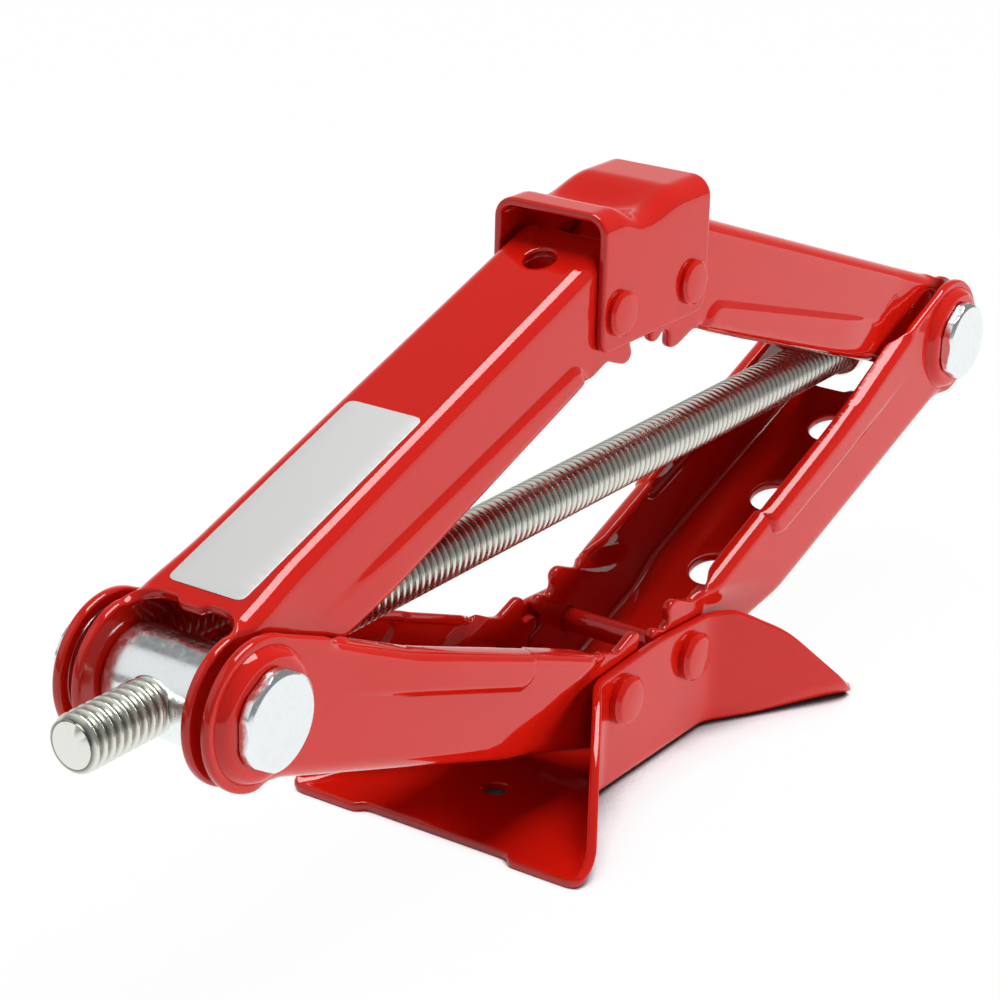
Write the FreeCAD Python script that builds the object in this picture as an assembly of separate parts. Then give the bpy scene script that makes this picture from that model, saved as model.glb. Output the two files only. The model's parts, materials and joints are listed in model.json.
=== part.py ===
import FreeCAD, Part
import math
import os

# Scissor jack: a pressed foot and saddle, four channel arms geared to each other at both ends,
# and a lead screw between two trunnions. Millimetres, +Z up, +X along the screw to its driven end,
# origin on the floor under the middle of the foot. Every arm stands at REST_ANGLE.

V = FreeCAD.Vector
X, Y, Z = V(1, 0, 0), V(0, 1, 0), V(0, 0, 1)

# Linkage
ARM_LENGTH = 185.0
PIVOT_SPACING = 40.4
FLOOR_CLEARANCE = 3.5
REST_ANGLE = 19.4

# Sheet metal and running clearances
SHEET = 3.0
SADDLE_SHEET = 2.5
BEND = 5.0
PLAY = 0.3
RUNNING_FIT = 0.05
SEATED_FIT = 0.02

# Trunnions, their shoulder bolts and spacers
TRUNNION_LENGTH = 33.0
TRUNNION_RADIUS = 14.0
TRUNNION_CHAMFER = 1.2
SEAT_DEPTH = 2.0
SPACER_LENGTH = 5.8
SPACER_WALL = 4.5
SHOULDER_RADIUS = 7.0
BOLT_TIP_RADIUS = 5.0
BOLT_TIP_WALL = 1.5
BOLT_HEAD_RADIUS = 13.9
BOLT_FLAT_DEPTH = 0.6
BOLT_FLAT_TURN = 30.0
BOLT_HEAD_HEIGHT = 3.7
BOLT_HEAD_CHAMFER = 0.9

# Round ends of the arms at the trunnions
LOBE_RADIUS = 21.0
LOBE_RIM = 3.5
LOBE_BOSS_RISE = 3.0
LOBE_BOSS_DRAFT = 1.5
ARM_START = 4.0

# Upper arms
UPPER_WEB = 20.0
UPPER_FREE = 14.0
UPPER_FLARE_START = 14.0
UPPER_FLARE_END = 32.0
UPPER_FLARE = 1.4
UPPER_END_WIDTH = 33.8
UPPER_MOUTH = 12.0
UPPER_WEB_OVERHANG = 7.0
UPPER_STRIP_START = 37.0
UPPER_STRIP_SETBACK = 25.0
UPPER_STRIP_DEPTH_START = 1.0
UPPER_STRIP_DEPTH_END = 5.5
UPPER_HOLE_RADIUS = 5.0
UPPER_HOLE_SETBACK = 8.0

# Lower arms
LOWER_WEB = 18.3
LOWER_FREE = 14.0
LOWER_FREE_AT_LOBE = 18.5
LOWER_FREE_LOBE_STATION = 35.0
LOWER_FREE_LEVEL_SETBACK = 60.0
LOWER_END_WIDTH = 46.4
LOWER_NARROW_SETBACK = 47.0
LOWER_NARROW_LENGTH = 26.0
LOWER_MOUTH = 24.0
LOWER_WEB_OVERHANG = 5.0
LOWER_STRIP_START = 32.0
LOWER_STRIP_SETBACK = 54.0
LOWER_STRIP_DEPTH = 4.8
LOWER_HOLE_RADIUS = 7.5
LOWER_HOLE_FIRST = 45.0
LOWER_HOLE_SETBACK = 55.0
LOWER_HOLE_COUNT = 3

# Stiffening strip and lip along the free edges, and the small tab in each web mouth
STRIP_RISE = 1.5
STRIP_CORNER = 6.0
LIP = 6.2
LIP_BEND = 4.0
MOUTH_MARGIN = 2.0
MOUTH_CORNER = 6.0
TAB_WIDTH = 9.0
TAB_LENGTH = 2.0

# Gear sectors on the arm ends
GEAR_TEETH = 10
PRESSURE_ANGLE = 25.0
ADDENDUM = 0.8
ROOT_CLEARANCE = 0.6
BACKLASH = 0.5
SADDLE_TOOTH_PHASE = 24.0
BASE_TOOTH_PHASE = 16.0
SHOULDER_PITCHES = 0.8
SHOULDER_LEAST_ANGLE = 1.0

# Pivot pins of the foot and the saddle
PIN_RADIUS = 4.0
BASE_PIN_HEAD_RADIUS = 8.0
BASE_PIN_HEAD_HEIGHT = 4.0
SADDLE_PIN_HEAD_RADIUS = 7.0
SADDLE_PIN_HEAD_HEIGHT = 2.4
PIN_HEAD_ROUND = 1.2

# Foot
BASE_LENGTH = 170.0
BASE_FLARE_ANGLE = 32.0
BASE_WAIST_ROUND = 14.0
BASE_APEX_RISE = 12.0
BASE_APEX_ROUND = 90.0
BASE_SHOULDER_MARGIN = 21.3
BASE_SHOULDER_RISE = 9.5
BASE_SHOULDER_ROUND = 9.0
BASE_BEND = 5.0
BASE_TIP_ROUND = 6.0
BASE_RECESS_DEPTH = 3.0
BASE_RECESS_WIDTH = 54.0
BASE_HOLE_RADIUS = 4.2
BASE_HOLE_SETBACK = 35.0

# Saddle
SADDLE_END_MARGIN = 9.3
SADDLE_HEADROOM = 5.1
SADDLE_DROP = 11.0
SADDLE_BEND = 6.5
SADDLE_CORNER = 4.0
DISH_FRONT = -11.0
DISH_BACK = 13.0
DISH_DEPTH = 4.5
DISH_FLOOR = 3.0
DISH_ROUND = 7.0

# Lead screw and drive end
SCREW_RADIUS = 8.0
SCREW_TAIL = 41.8
SCREW_CHAMFER = 1.6
SHANK_STEP = 0.7
SHANK_LENGTH = 25.0
JOURNAL_STEP = 2.0
COLLAR_WALL = 2.3
COLLAR_LENGTH = 5.0
THRUST_WASHER_WALL = 6.5
THRUST_WASHER_LENGTH = 3.0
DRIVE_FLATS = 19.0
DRIVE_LENGTH = 15.0
DRIVE_CHAMFER = 1.5
DRIVE_PIN_RADIUS = 2.0

# Gear radii
pitch_radius = PIVOT_SPACING / 2
module = PIVOT_SPACING / GEAR_TEETH
tooth_step = 360.0 / GEAR_TEETH
tip_radius = pitch_radius + ADDENDUM * module
root_radius = pitch_radius - ADDENDUM * module - ROOT_CLEARANCE
flank_radius = pitch_radius * math.cos(math.radians(PRESSURE_ANGLE))
shoulder_radius = pitch_radius - PLAY

# Widths that stack up outwards from the middle of the trunnion, as half widths
upper_out = TRUNNION_LENGTH / 2 + PLAY + SHEET
lower_boss_in = upper_out + PLAY + SPACER_LENGTH + PLAY
lower_out = lower_boss_in + SHEET - LOBE_BOSS_RISE
bolt_seat = lower_boss_in + SHEET + PLAY
base_out = LOWER_END_WIDTH / 2 + PLAY + SHEET
saddle_out = UPPER_END_WIDTH / 2 + PLAY + SADDLE_SHEET

# Pivot places at rest
base_pivot_z = SHEET + FLOOR_CLEARANCE + tip_radius
slope = math.radians(REST_ANGLE)
trunnion_x = PIVOT_SPACING / 2 + ARM_LENGTH * math.cos(slope)
trunnion_z = base_pivot_z + ARM_LENGTH * math.sin(slope)
saddle_z = trunnion_z + ARM_LENGTH * math.sin(slope)
front_pivot = V(-trunnion_x, 0, trunnion_z)
rear_pivot = V(trunnion_x, 0, trunnion_z)

# Stations of the screw train along X from the axis of the rear trunnion, and its radii
seat_flat = TRUNNION_RADIUS - SEAT_DEPTH
shank_end = -seat_flat - PLAY
thread_end = shank_end - SHANK_LENGTH
washer_start = seat_flat + PLAY
drive_start = washer_start + THRUST_WASHER_LENGTH
drive_end = drive_start + DRIVE_LENGTH
shank_radius = SCREW_RADIUS - SHANK_STEP
journal_radius = SCREW_RADIUS - JOURNAL_STEP

FAR = 1000.0


def outline(corners):
    """Closed wire in the XY plane through corners (x, y, radius), each rounded by its radius."""
    runs = []
    for i, (x, y, radius) in enumerate(corners):
        here = V(x, y, 0)
        if radius <= 0:
            runs.append((here, None, here))
            continue
        back = (V(*corners[i - 1][:2], 0) - here).normalize()
        ahead = (V(*corners[(i + 1) % len(corners)][:2], 0) - here).normalize()
        half_turn = back.getAngle(ahead) / 2
        reach = radius / math.tan(half_turn)
        middle = (back + ahead).normalize() * (radius / math.sin(half_turn) - radius)
        runs.append((here + back * reach, here + middle, here + ahead * reach))
    edges = []
    for i, (start, middle, end) in enumerate(runs):
        if middle is not None:
            edges.append(Part.Arc(start, middle, end).toShape())
        following = runs[(i + 1) % len(runs)][0]
        if end.distanceToPoint(following) > 1e-6:
            edges.append(Part.makeLine(end, following))
    return Part.Wire(edges)


def plan_prism(wire, low, high):
    """Solid over an outline in plan, from z = low to z = high."""
    prism = Part.Face(wire).extrude(Z * (high - low))
    prism.translate(Z * low)
    return prism


def side_prism(wire, low, high):
    """Solid on an outline in side view (x, z), from y = low to y = high."""
    prism = Part.Face(wire).extrude(Z * (high - low))
    prism.rotate(V(0, 0, 0), X, 90)
    prism.translate(Y * high)
    return prism


def rod(radius, start, end):
    """Round bar between two points."""
    axis = end - start
    return Part.makeCylinder(radius, axis.Length, start, axis)


def cross_rod(radius, x, z, low, high):
    """Round bar along Y at (x, z)."""
    return rod(radius, V(x, low, z), V(x, high, z))


def between(line, station):
    """Value at a station of a polyline of (station, value) points."""
    for (s0, v0), (s1, v1) in zip(line, line[1:]):
        if station <= s1:
            break
    return v0 + (v1 - v0) * (station - s0) / (s1 - s0)


def channel_section(station, half, web, free, lip):
    """Wire of a channel across an arm: web at k = web, walls to k = -free, lips turned inwards."""
    inner = half - SHEET
    if lip > 0:
        tongue = half - lip
        corners = [(tongue, -free, 0), (half, -free, LIP_BEND), (half, web, BEND),
                   (-half, web, BEND), (-half, -free, LIP_BEND), (-tongue, -free, 0),
                   (-tongue, -free + SHEET, 0), (-inner, -free + SHEET, LIP_BEND - SHEET),
                   (-inner, web - SHEET, BEND - SHEET), (inner, web - SHEET, BEND - SHEET),
                   (inner, -free + SHEET, LIP_BEND - SHEET), (tongue, -free + SHEET, 0)]
    else:
        corners = [(half, -free, 0), (half, web, BEND), (-half, web, BEND), (-half, -free, 0),
                   (-inner, -free, 0), (-inner, web - SHEET, BEND - SHEET),
                   (inner, web - SHEET, BEND - SHEET), (inner, -free, 0)]
    wire = outline(corners)
    wire.Placement = FreeCAD.Placement(V(station, 0, 0), FreeCAD.Rotation(V(1, 1, 1), 120))
    return wire


def polar(radius, angle):
    """Point in side view around the geared pivot of an arm."""
    turn = math.radians(angle)
    return V(ARM_LENGTH + radius * math.cos(turn), radius * math.sin(turn), 0)


def arc_about_gear(radius, start, end):
    return Part.Arc(polar(radius, start), polar(radius, (start + end) / 2), polar(radius, end)).toShape()


def tooth_half_angle(radius):
    """Half the angle that an involute tooth takes up at a radius, in degrees."""
    def involute(angle):
        return math.tan(angle) - angle
    at_pitch = math.pi / (2 * GEAR_TEETH) - BACKLASH / (4 * pitch_radius)
    here = math.acos(min(1.0, flank_radius / radius))
    return math.degrees(at_pitch + involute(math.radians(PRESSURE_ANGLE)) - involute(here))


def gear_edges(teeth, start, stop):
    """Edges of a toothed sector from the angle start to the angle stop."""
    foot, middle, tip = (tooth_half_angle(r) for r in (flank_radius, pitch_radius, tip_radius))
    edges = []
    angle = start
    for centre in sorted(teeth):
        edges.append(arc_about_gear(root_radius, angle, centre - foot))
        edges.append(Part.makeLine(polar(root_radius, centre - foot), polar(flank_radius, centre - foot)))
        edges.append(Part.Arc(polar(flank_radius, centre - foot), polar(pitch_radius, centre - middle),
                              polar(tip_radius, centre - tip)).toShape())
        edges.append(arc_about_gear(tip_radius, centre - tip, centre + tip))
        edges.append(Part.Arc(polar(tip_radius, centre + tip), polar(pitch_radius, centre + middle),
                              polar(flank_radius, centre + foot)).toShape())
        edges.append(Part.makeLine(polar(flank_radius, centre + foot), polar(root_radius, centre + foot)))
        angle = centre + foot
    edges.append(arc_about_gear(root_radius, angle, stop))
    return edges


def arm_outline(free_line, web, overhang, teeth):
    """Side view of an arm: free edge, toothed end, web end. Round ends are added apart."""
    free_end = free_line[-1][1]
    start = math.degrees(math.asin(min(1.0, free_end / root_radius))) - 180
    stop = max(teeth) + SHOULDER_PITCHES * tooth_step
    under_web = math.degrees(math.asin(min(1.0, (web - SHEET - PLAY) / shoulder_radius)))
    last = max(under_web, stop + SHOULDER_LEAST_ANGLE)
    shoulder_end = polar(shoulder_radius, last)
    top = web + BEND
    free_points = [V(s, -f, 0) for s, f in free_line[:-1]] + [polar(root_radius, start)]
    edges = [Part.makeLine(a, b) for a, b in zip(free_points, free_points[1:])]
    edges += gear_edges(teeth, start, stop)
    edges.append(Part.makeLine(polar(root_radius, stop), polar(shoulder_radius, stop)))
    edges.append(arc_about_gear(shoulder_radius, stop, last))
    back_points = [shoulder_end, V(ARM_LENGTH + overhang, shoulder_end.y, 0),
                   V(ARM_LENGTH + overhang, top, 0), V(ARM_START, top, 0), free_points[0]]
    edges += [Part.makeLine(a, b) for a, b in zip(back_points, back_points[1:])]
    return Part.Wire(edges)


def mouth_cutter(depth, out):
    """Cut-out of the web beside the trunnion, with a small tab left at its middle."""
    half = out - SHEET - MOUTH_MARGIN
    wire = outline([(-FAR, -half, 0), (depth, -half, MOUTH_CORNER), (depth, half, MOUTH_CORNER),
                    (-FAR, half, 0)])
    tab = Part.makeBox(FAR, TAB_WIDTH, 2 * FAR, V(depth - TAB_LENGTH, -TAB_WIDTH / 2, -FAR))
    return plan_prism(wire, -FAR, FAR).cut(tab)


def both_sides(shape):
    return [shape, shape.mirror(V(0, 0, 0), Y)]


def boss_cone(radius, start):
    return Part.makeCone(radius, radius - LOBE_BOSS_DRAFT, LOBE_BOSS_RISE, Y * start, Y)


def lower_bosses():
    """Raised rounds pressed outwards around the bolts of a lower arm."""
    return both_sides(boss_cone(LOBE_RADIUS - LOBE_RIM, lower_out))


def lower_recesses():
    """The hollows behind the raised rounds, where the spacers sit."""
    return both_sides(boss_cone(LOBE_RADIUS - LOBE_RIM - SHEET / 2, lower_out - SHEET))


def strip_field(strip):
    """Prism over the stiffening strip along a free edge, given as (station, depth) of its two corners."""
    (s0, d0), (s1, d1) = strip
    deep = -2 * LOBE_RADIUS
    wire = outline([(s0, deep, 0), (s1, deep, 0), (s1, -d1, STRIP_CORNER), (s0, -d0, STRIP_CORNER)])
    return side_prism(wire, -FAR, FAR)


def arm(widths, free_line, web, overhang, teeth, strip, mouth):
    """One pressed arm along X from its trunnion at the origin, web up, before it is put in place."""
    end = ARM_LENGTH + tip_radius + SHEET
    stations = widths + [(end, widths[-1][1])]
    blank = Part.makeLoft([channel_section(s, w, web, LOBE_RADIUS + SHEET, 0) for s, w in stations],
                          True, True)
    body = blank.common(side_prism(arm_outline(free_line, web, overhang, teeth), -FAR, FAR))

    # The strip stands proud of the wall and ends in an inward lip.
    first, last = strip[0][0], strip[1][0]
    breaks = {first, last} | {s for s, _ in widths + free_line if first < s < last}
    sections = [channel_section(s, between(widths, s) + STRIP_RISE, web, between(free_line, s), LIP)
                for s in sorted(breaks)]
    raised = Part.makeLoft(sections, True, True)
    field = strip_field(strip)
    body = body.cut(field).fuse(raised.common(field)).cut(mouth_cutter(mouth, widths[0][1]))

    out = widths[0][1]
    return body.fuse(both_sides(cross_rod(LOBE_RADIUS, 0, 0, out - SHEET, out)))


def pivot_holes():
    return [cross_rod(SHOULDER_RADIUS + RUNNING_FIT, 0, 0, -FAR, FAR),
            cross_rod(PIN_RADIUS + RUNNING_FIT, ARM_LENGTH, 0, -FAR, FAR)]


def web_hole(station, radius, web):
    return rod(radius, V(station, 0, web - 2 * SHEET), V(station, 0, web + SHEET))


def tooth_angles(phase, front):
    """Angles of an arm's teeth from its own axis; a rear arm's teeth sit half a step further on."""
    steps = (1, 0, -1) if front else (1.5, 0.5, -0.5, -1.5)
    return [-(phase + step * tooth_step + REST_ANGLE) for step in steps]


def upper_arm(front):
    free_line = [(ARM_START, LOBE_RADIUS - PLAY), (UPPER_STRIP_START, UPPER_FREE), (ARM_LENGTH, UPPER_FREE)]
    widths = [(ARM_START, upper_out), (UPPER_FLARE_START, upper_out),
              (UPPER_FLARE_END, upper_out - UPPER_FLARE), (ARM_LENGTH, UPPER_END_WIDTH / 2)]
    strip = ((UPPER_STRIP_START, UPPER_STRIP_DEPTH_START),
             (ARM_LENGTH - UPPER_STRIP_SETBACK, UPPER_STRIP_DEPTH_END))
    teeth = tooth_angles(SADDLE_TOOTH_PHASE, front)
    shape = arm(widths, free_line, UPPER_WEB, UPPER_WEB_OVERHANG, teeth, strip, UPPER_MOUTH)
    hole = web_hole(ARM_LENGTH - UPPER_HOLE_SETBACK, UPPER_HOLE_RADIUS, UPPER_WEB)
    shape = shape.cut(pivot_holes() + [hole]).removeSplitter()
    shape.rotate(V(0, 0, 0), Y, -REST_ANGLE)
    shape.translate(front_pivot)
    return shape if front else shape.mirror(V(0, 0, 0), X)


def lower_arm(front):
    free_line = [(ARM_START, LOBE_RADIUS - PLAY), (LOWER_FREE_LOBE_STATION, LOWER_FREE_AT_LOBE),
                 (ARM_LENGTH - LOWER_FREE_LEVEL_SETBACK, LOWER_FREE), (ARM_LENGTH, LOWER_FREE)]
    narrow = ARM_LENGTH - LOWER_NARROW_SETBACK
    widths = [(ARM_START, lower_out), (narrow, lower_out),
              (narrow + LOWER_NARROW_LENGTH, LOWER_END_WIDTH / 2), (ARM_LENGTH, LOWER_END_WIDTH / 2)]
    strip = ((LOWER_STRIP_START, LOWER_STRIP_DEPTH), (ARM_LENGTH - LOWER_STRIP_SETBACK, LOWER_STRIP_DEPTH))
    teeth = tooth_angles(BASE_TOOTH_PHASE, front)
    shape = arm(widths, free_line, LOWER_WEB, LOWER_WEB_OVERHANG, teeth, strip, LOWER_MOUTH)
    pitch = (ARM_LENGTH - LOWER_HOLE_SETBACK - LOWER_HOLE_FIRST) / (LOWER_HOLE_COUNT - 1)
    holes = [web_hole(LOWER_HOLE_FIRST + i * pitch, LOWER_HOLE_RADIUS, LOWER_WEB)
             for i in range(LOWER_HOLE_COUNT)]
    shape = shape.fuse(lower_bosses()).cut(lower_recesses() + pivot_holes() + holes).removeSplitter()
    shape = shape.mirror(V(0, 0, 0), Z)
    shape.rotate(V(0, 0, 0), Y, REST_ANGLE)
    shape.translate(front_pivot)
    return shape if front else shape.mirror(V(0, 0, 0), X)


def foot_plan(wall, past):
    """Plan of the foot, moved inwards by wall and run past its ends: straight waist, flared sides."""
    flare = math.radians(BASE_FLARE_ANGLE)
    bend_start = PIVOT_SPACING / 2 + BASE_PIN_HEAD_RADIUS + PLAY
    waist_x = bend_start + (BASE_WAIST_ROUND + wall) * math.tan(flare / 2)
    waist_y = base_out - wall
    round_off = BASE_WAIST_ROUND + wall
    end_x = BASE_LENGTH / 2 + past
    end_y = waist_y + (end_x - waist_x) * math.tan(flare)
    tip = 0 if past else BASE_TIP_ROUND
    return outline([(end_x, -end_y, tip), (end_x, end_y, tip), (waist_x, waist_y, round_off),
                    (-waist_x, waist_y, round_off), (-end_x, end_y, tip), (-end_x, -end_y, tip),
                    (-waist_x, -waist_y, round_off), (waist_x, -waist_y, round_off)])


def round_bottom_sides(solid, low, radius):
    """Round the long edges where the sides of a foot solid meet its bottom at z = low."""
    def is_side(edge):
        box = edge.BoundBox
        flat = abs(box.ZMin - low) < 1e-6 and abs(box.ZMax - low) < 1e-6
        return flat and box.XLength > SHEET
    return solid.makeFillet(radius, [edge for edge in solid.Edges if is_side(edge)])


def base_foot():
    end_x = BASE_LENGTH / 2
    shoulder_x = PIVOT_SPACING / 2 + BASE_SHOULDER_MARGIN
    shoulder_z = base_pivot_z + BASE_SHOULDER_RISE
    apex_z = base_pivot_z + BASE_APEX_RISE
    outer = round_bottom_sides(plan_prism(foot_plan(0, 0), 0, apex_z), 0, BASE_BEND)
    inner = round_bottom_sides(plan_prism(foot_plan(SHEET, SHEET), SHEET, FAR), SHEET, BASE_BEND - SHEET)
    profile = outline([(-FAR, -FAR, 0), (FAR, -FAR, 0), (FAR, SHEET, 0), (end_x, SHEET, 0),
                       (shoulder_x, shoulder_z, BASE_SHOULDER_ROUND), (0, apex_z, BASE_APEX_ROUND),
                       (-shoulder_x, shoulder_z, BASE_SHOULDER_ROUND), (-end_x, SHEET, 0), (-FAR, SHEET, 0)])
    foot = outer.cut(inner).common(side_prism(profile, -FAR, FAR))
    cuts = []
    for side in (-1, 1):
        recess = V(side * end_x - BASE_RECESS_DEPTH, -BASE_RECESS_WIDTH / 2, -SHEET)
        cuts.append(Part.makeBox(2 * BASE_RECESS_DEPTH, BASE_RECESS_WIDTH, 4 * SHEET, recess))
        hole_x = side * (end_x - BASE_HOLE_SETBACK)
        cuts.append(rod(BASE_HOLE_RADIUS, V(hole_x, 0, -SHEET), V(hole_x, 0, 2 * SHEET)))
        cuts.append(cross_rod(PIN_RADIUS + SEATED_FIT, side * PIVOT_SPACING / 2, base_pivot_z, -FAR, FAR))
    return foot.cut(cuts).removeSplitter()


def saddle_block(inset, past):
    """Block under the dished top of the saddle, moved in by inset and run past its ends and bottom."""
    half = saddle_out - inset
    end_x = PIVOT_SPACING / 2 + SADDLE_END_MARGIN + past
    top = tip_radius + SADDLE_HEADROOM + SADDLE_SHEET - inset
    floor = top - DISH_DEPTH
    bottom = -SADDLE_DROP - past
    corner = 0 if past else SADDLE_CORNER
    lip, hollow = DISH_ROUND - inset, DISH_ROUND + inset
    middle = (DISH_FRONT + DISH_BACK) / 2
    profile = outline([(-end_x, bottom, corner), (end_x, bottom, corner), (end_x, top, 0),
                       (DISH_BACK, top, lip), (middle + DISH_FLOOR, floor, hollow),
                       (middle - DISH_FLOOR, floor, hollow), (DISH_FRONT, top, lip), (-end_x, top, 0)])
    block = side_prism(profile, -half, half)

    def is_top_side(edge):
        box = edge.BoundBox
        return box.YLength < 1e-6 and box.ZMin > floor - SADDLE_SHEET and box.XLength > 1e-6
    return block.makeFillet(SADDLE_BEND - inset, [edge for edge in block.Edges if is_top_side(edge)])


def saddle():
    shape = saddle_block(0, 0).cut(saddle_block(SADDLE_SHEET, SADDLE_SHEET))
    pins = [cross_rod(PIN_RADIUS + SEATED_FIT, side * PIVOT_SPACING / 2, 0, -FAR, FAR) for side in (-1, 1)]
    shape = shape.cut(pins).removeSplitter()
    shape.translate(Z * saddle_z)
    return shape


def riveted_pin(x, z, grip, head_radius, head_height):
    """Pivot pin along Y with a rounded head closed on each side."""
    pin = cross_rod(PIN_RADIUS, x, z, -grip, grip)
    for side in (-1, 1):
        face = grip + head_height
        head = rod(head_radius, V(x, side * grip, z), V(x, side * face, z))
        rim = [edge for edge in head.Edges if abs(edge.BoundBox.Center.y - side * face) < 1e-6
               and edge.BoundBox.XLength > head_radius]
        pin = pin.fuse(head.makeFillet(PIN_HEAD_ROUND, rim))
    return pin.removeSplitter()


def trunnion(bore):
    """Turned cross bar with a bore for the screw and a threaded hole in each end."""
    half = TRUNNION_LENGTH / 2
    bar = cross_rod(TRUNNION_RADIUS, 0, 0, -half, half)
    rims = [edge for edge in bar.Edges if edge.BoundBox.YLength < 1e-6]
    bar = bar.makeChamfer(TRUNNION_CHAMFER, rims)
    tip_hole = rod(BOLT_TIP_RADIUS + SEATED_FIT, Y * (SCREW_RADIUS + BOLT_TIP_WALL - PLAY), Y * half)
    screw_hole = rod(bore, X * -2 * TRUNNION_RADIUS, X * 2 * TRUNNION_RADIUS)
    return bar.cut(both_sides(tip_hole) + [screw_hole])


def front_trunnion():
    shape = trunnion(SCREW_RADIUS + RUNNING_FIT)
    shape.translate(front_pivot)
    return shape


def rear_trunnion():
    """Rear cross bar, with flats where the screw's shoulder and its thrust washer bear."""
    shape = trunnion(journal_radius + RUNNING_FIT)
    size = 2 * TRUNNION_RADIUS
    for start in (seat_flat, -seat_flat - size):
        shape = shape.cut(Part.makeBox(size, TRUNNION_LENGTH, size,
                                       V(start, -TRUNNION_LENGTH / 2, -TRUNNION_RADIUS)))
    shape.translate(rear_pivot)
    return shape


def hexagon(flats):
    corner = flats / math.sqrt(3)
    turns = [math.radians(60 * i) for i in range(6)]
    return outline([(corner * math.cos(t), corner * math.sin(t), 0) for t in turns])


def pivot_bolt(pivot, side):
    """Shoulder bolt that holds both arm walls on one end of a trunnion."""
    half = TRUNNION_LENGTH / 2
    head = Part.makeCylinder(BOLT_HEAD_RADIUS, BOLT_HEAD_HEIGHT)
    rim = [edge for edge in head.Edges if abs(edge.BoundBox.Center.z - BOLT_HEAD_HEIGHT) < 1e-6
           and edge.BoundBox.XLength > BOLT_HEAD_RADIUS]
    head = head.makeChamfer(BOLT_HEAD_CHAMFER, rim)
    head = head.common(plan_prism(hexagon(2 * (BOLT_HEAD_RADIUS - BOLT_FLAT_DEPTH)), 0, BOLT_HEAD_HEIGHT))
    head.rotate(V(0, 0, 0), Z, BOLT_FLAT_TURN)
    head.translate(Z * bolt_seat)
    shoulder = rod(SHOULDER_RADIUS, Z * half, Z * bolt_seat)
    tip = rod(BOLT_TIP_RADIUS, Z * (SCREW_RADIUS + BOLT_TIP_WALL), Z * half)
    bolt = head.fuse([shoulder, tip]).removeSplitter()
    bolt.rotate(V(0, 0, 0), X, -90 * side)
    bolt.translate(pivot)
    return bolt


def spacer(pivot, side):
    """Ring that keeps the upper and lower arm walls apart on a shoulder bolt."""
    low = upper_out + PLAY
    ring = rod(SHOULDER_RADIUS + SPACER_WALL, Y * low, Y * (low + SPACER_LENGTH))
    ring = ring.cut(rod(SHOULDER_RADIUS + SEATED_FIT, Y * 0, Y * FAR))
    if side < 0:
        ring = ring.mirror(V(0, 0, 0), Y)
    ring.translate(pivot)
    return ring


def lead_screw():
    """Screw with a chamfered free end, a plain shank, and a journal through the rear trunnion."""
    start = -2 * trunnion_x - SCREW_TAIL
    thread = rod(SCREW_RADIUS, X * start, X * thread_end)
    rim = [edge for edge in thread.Edges if abs(edge.BoundBox.Center.x - start) < 1e-6
           and edge.BoundBox.XLength < 1e-6]
    thread = thread.makeChamfer(SCREW_CHAMFER, rim)
    shank = rod(shank_radius, X * thread_end, X * shank_end)
    journal = rod(journal_radius, X * shank_end, X * drive_end)
    screw = thread.fuse([shank, journal]).cut(drive_pin_bar(DRIVE_PIN_RADIUS + SEATED_FIT))
    screw = screw.removeSplitter()
    screw.translate(rear_pivot)
    return screw


def ring_on_screw(shaft, wall, start, length):
    """Ring of a wall thickness on a shaft of the screw, from a station along X."""
    ring = rod(shaft + wall, X * start, X * (start + length))
    ring = ring.cut(rod(shaft + SEATED_FIT, X * -FAR, X * FAR))
    ring.translate(rear_pivot)
    return ring


def drive_pin_bar(radius):
    middle = (drive_start + drive_end) / 2
    half = DRIVE_FLATS / 2
    return rod(radius, V(middle, 0, -half), V(middle, 0, half))


def drive_head():
    """Hexagon for a crank socket, pinned on the journal, its outer corners chamfered."""
    head = plan_prism(hexagon(DRIVE_FLATS), 0, DRIVE_LENGTH)
    corner = DRIVE_FLATS / math.sqrt(3)
    body = DRIVE_LENGTH - DRIVE_CHAMFER
    turned = Part.makeCylinder(corner, body).fuse(
        Part.makeCone(corner, corner - 2 * DRIVE_CHAMFER, DRIVE_CHAMFER, Z * body))
    head = head.common(turned).cut(Part.makeCylinder(journal_radius + SEATED_FIT, DRIVE_LENGTH))
    head.rotate(V(0, 0, 0), Z, 30)
    head.rotate(V(0, 0, 0), Y, 90)
    head.translate(X * drive_start)
    head = head.cut(drive_pin_bar(DRIVE_PIN_RADIUS + SEATED_FIT))
    head.translate(rear_pivot)
    return head


def drive_pin():
    pin = drive_pin_bar(DRIVE_PIN_RADIUS)
    pin.translate(rear_pivot)
    return pin


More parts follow.
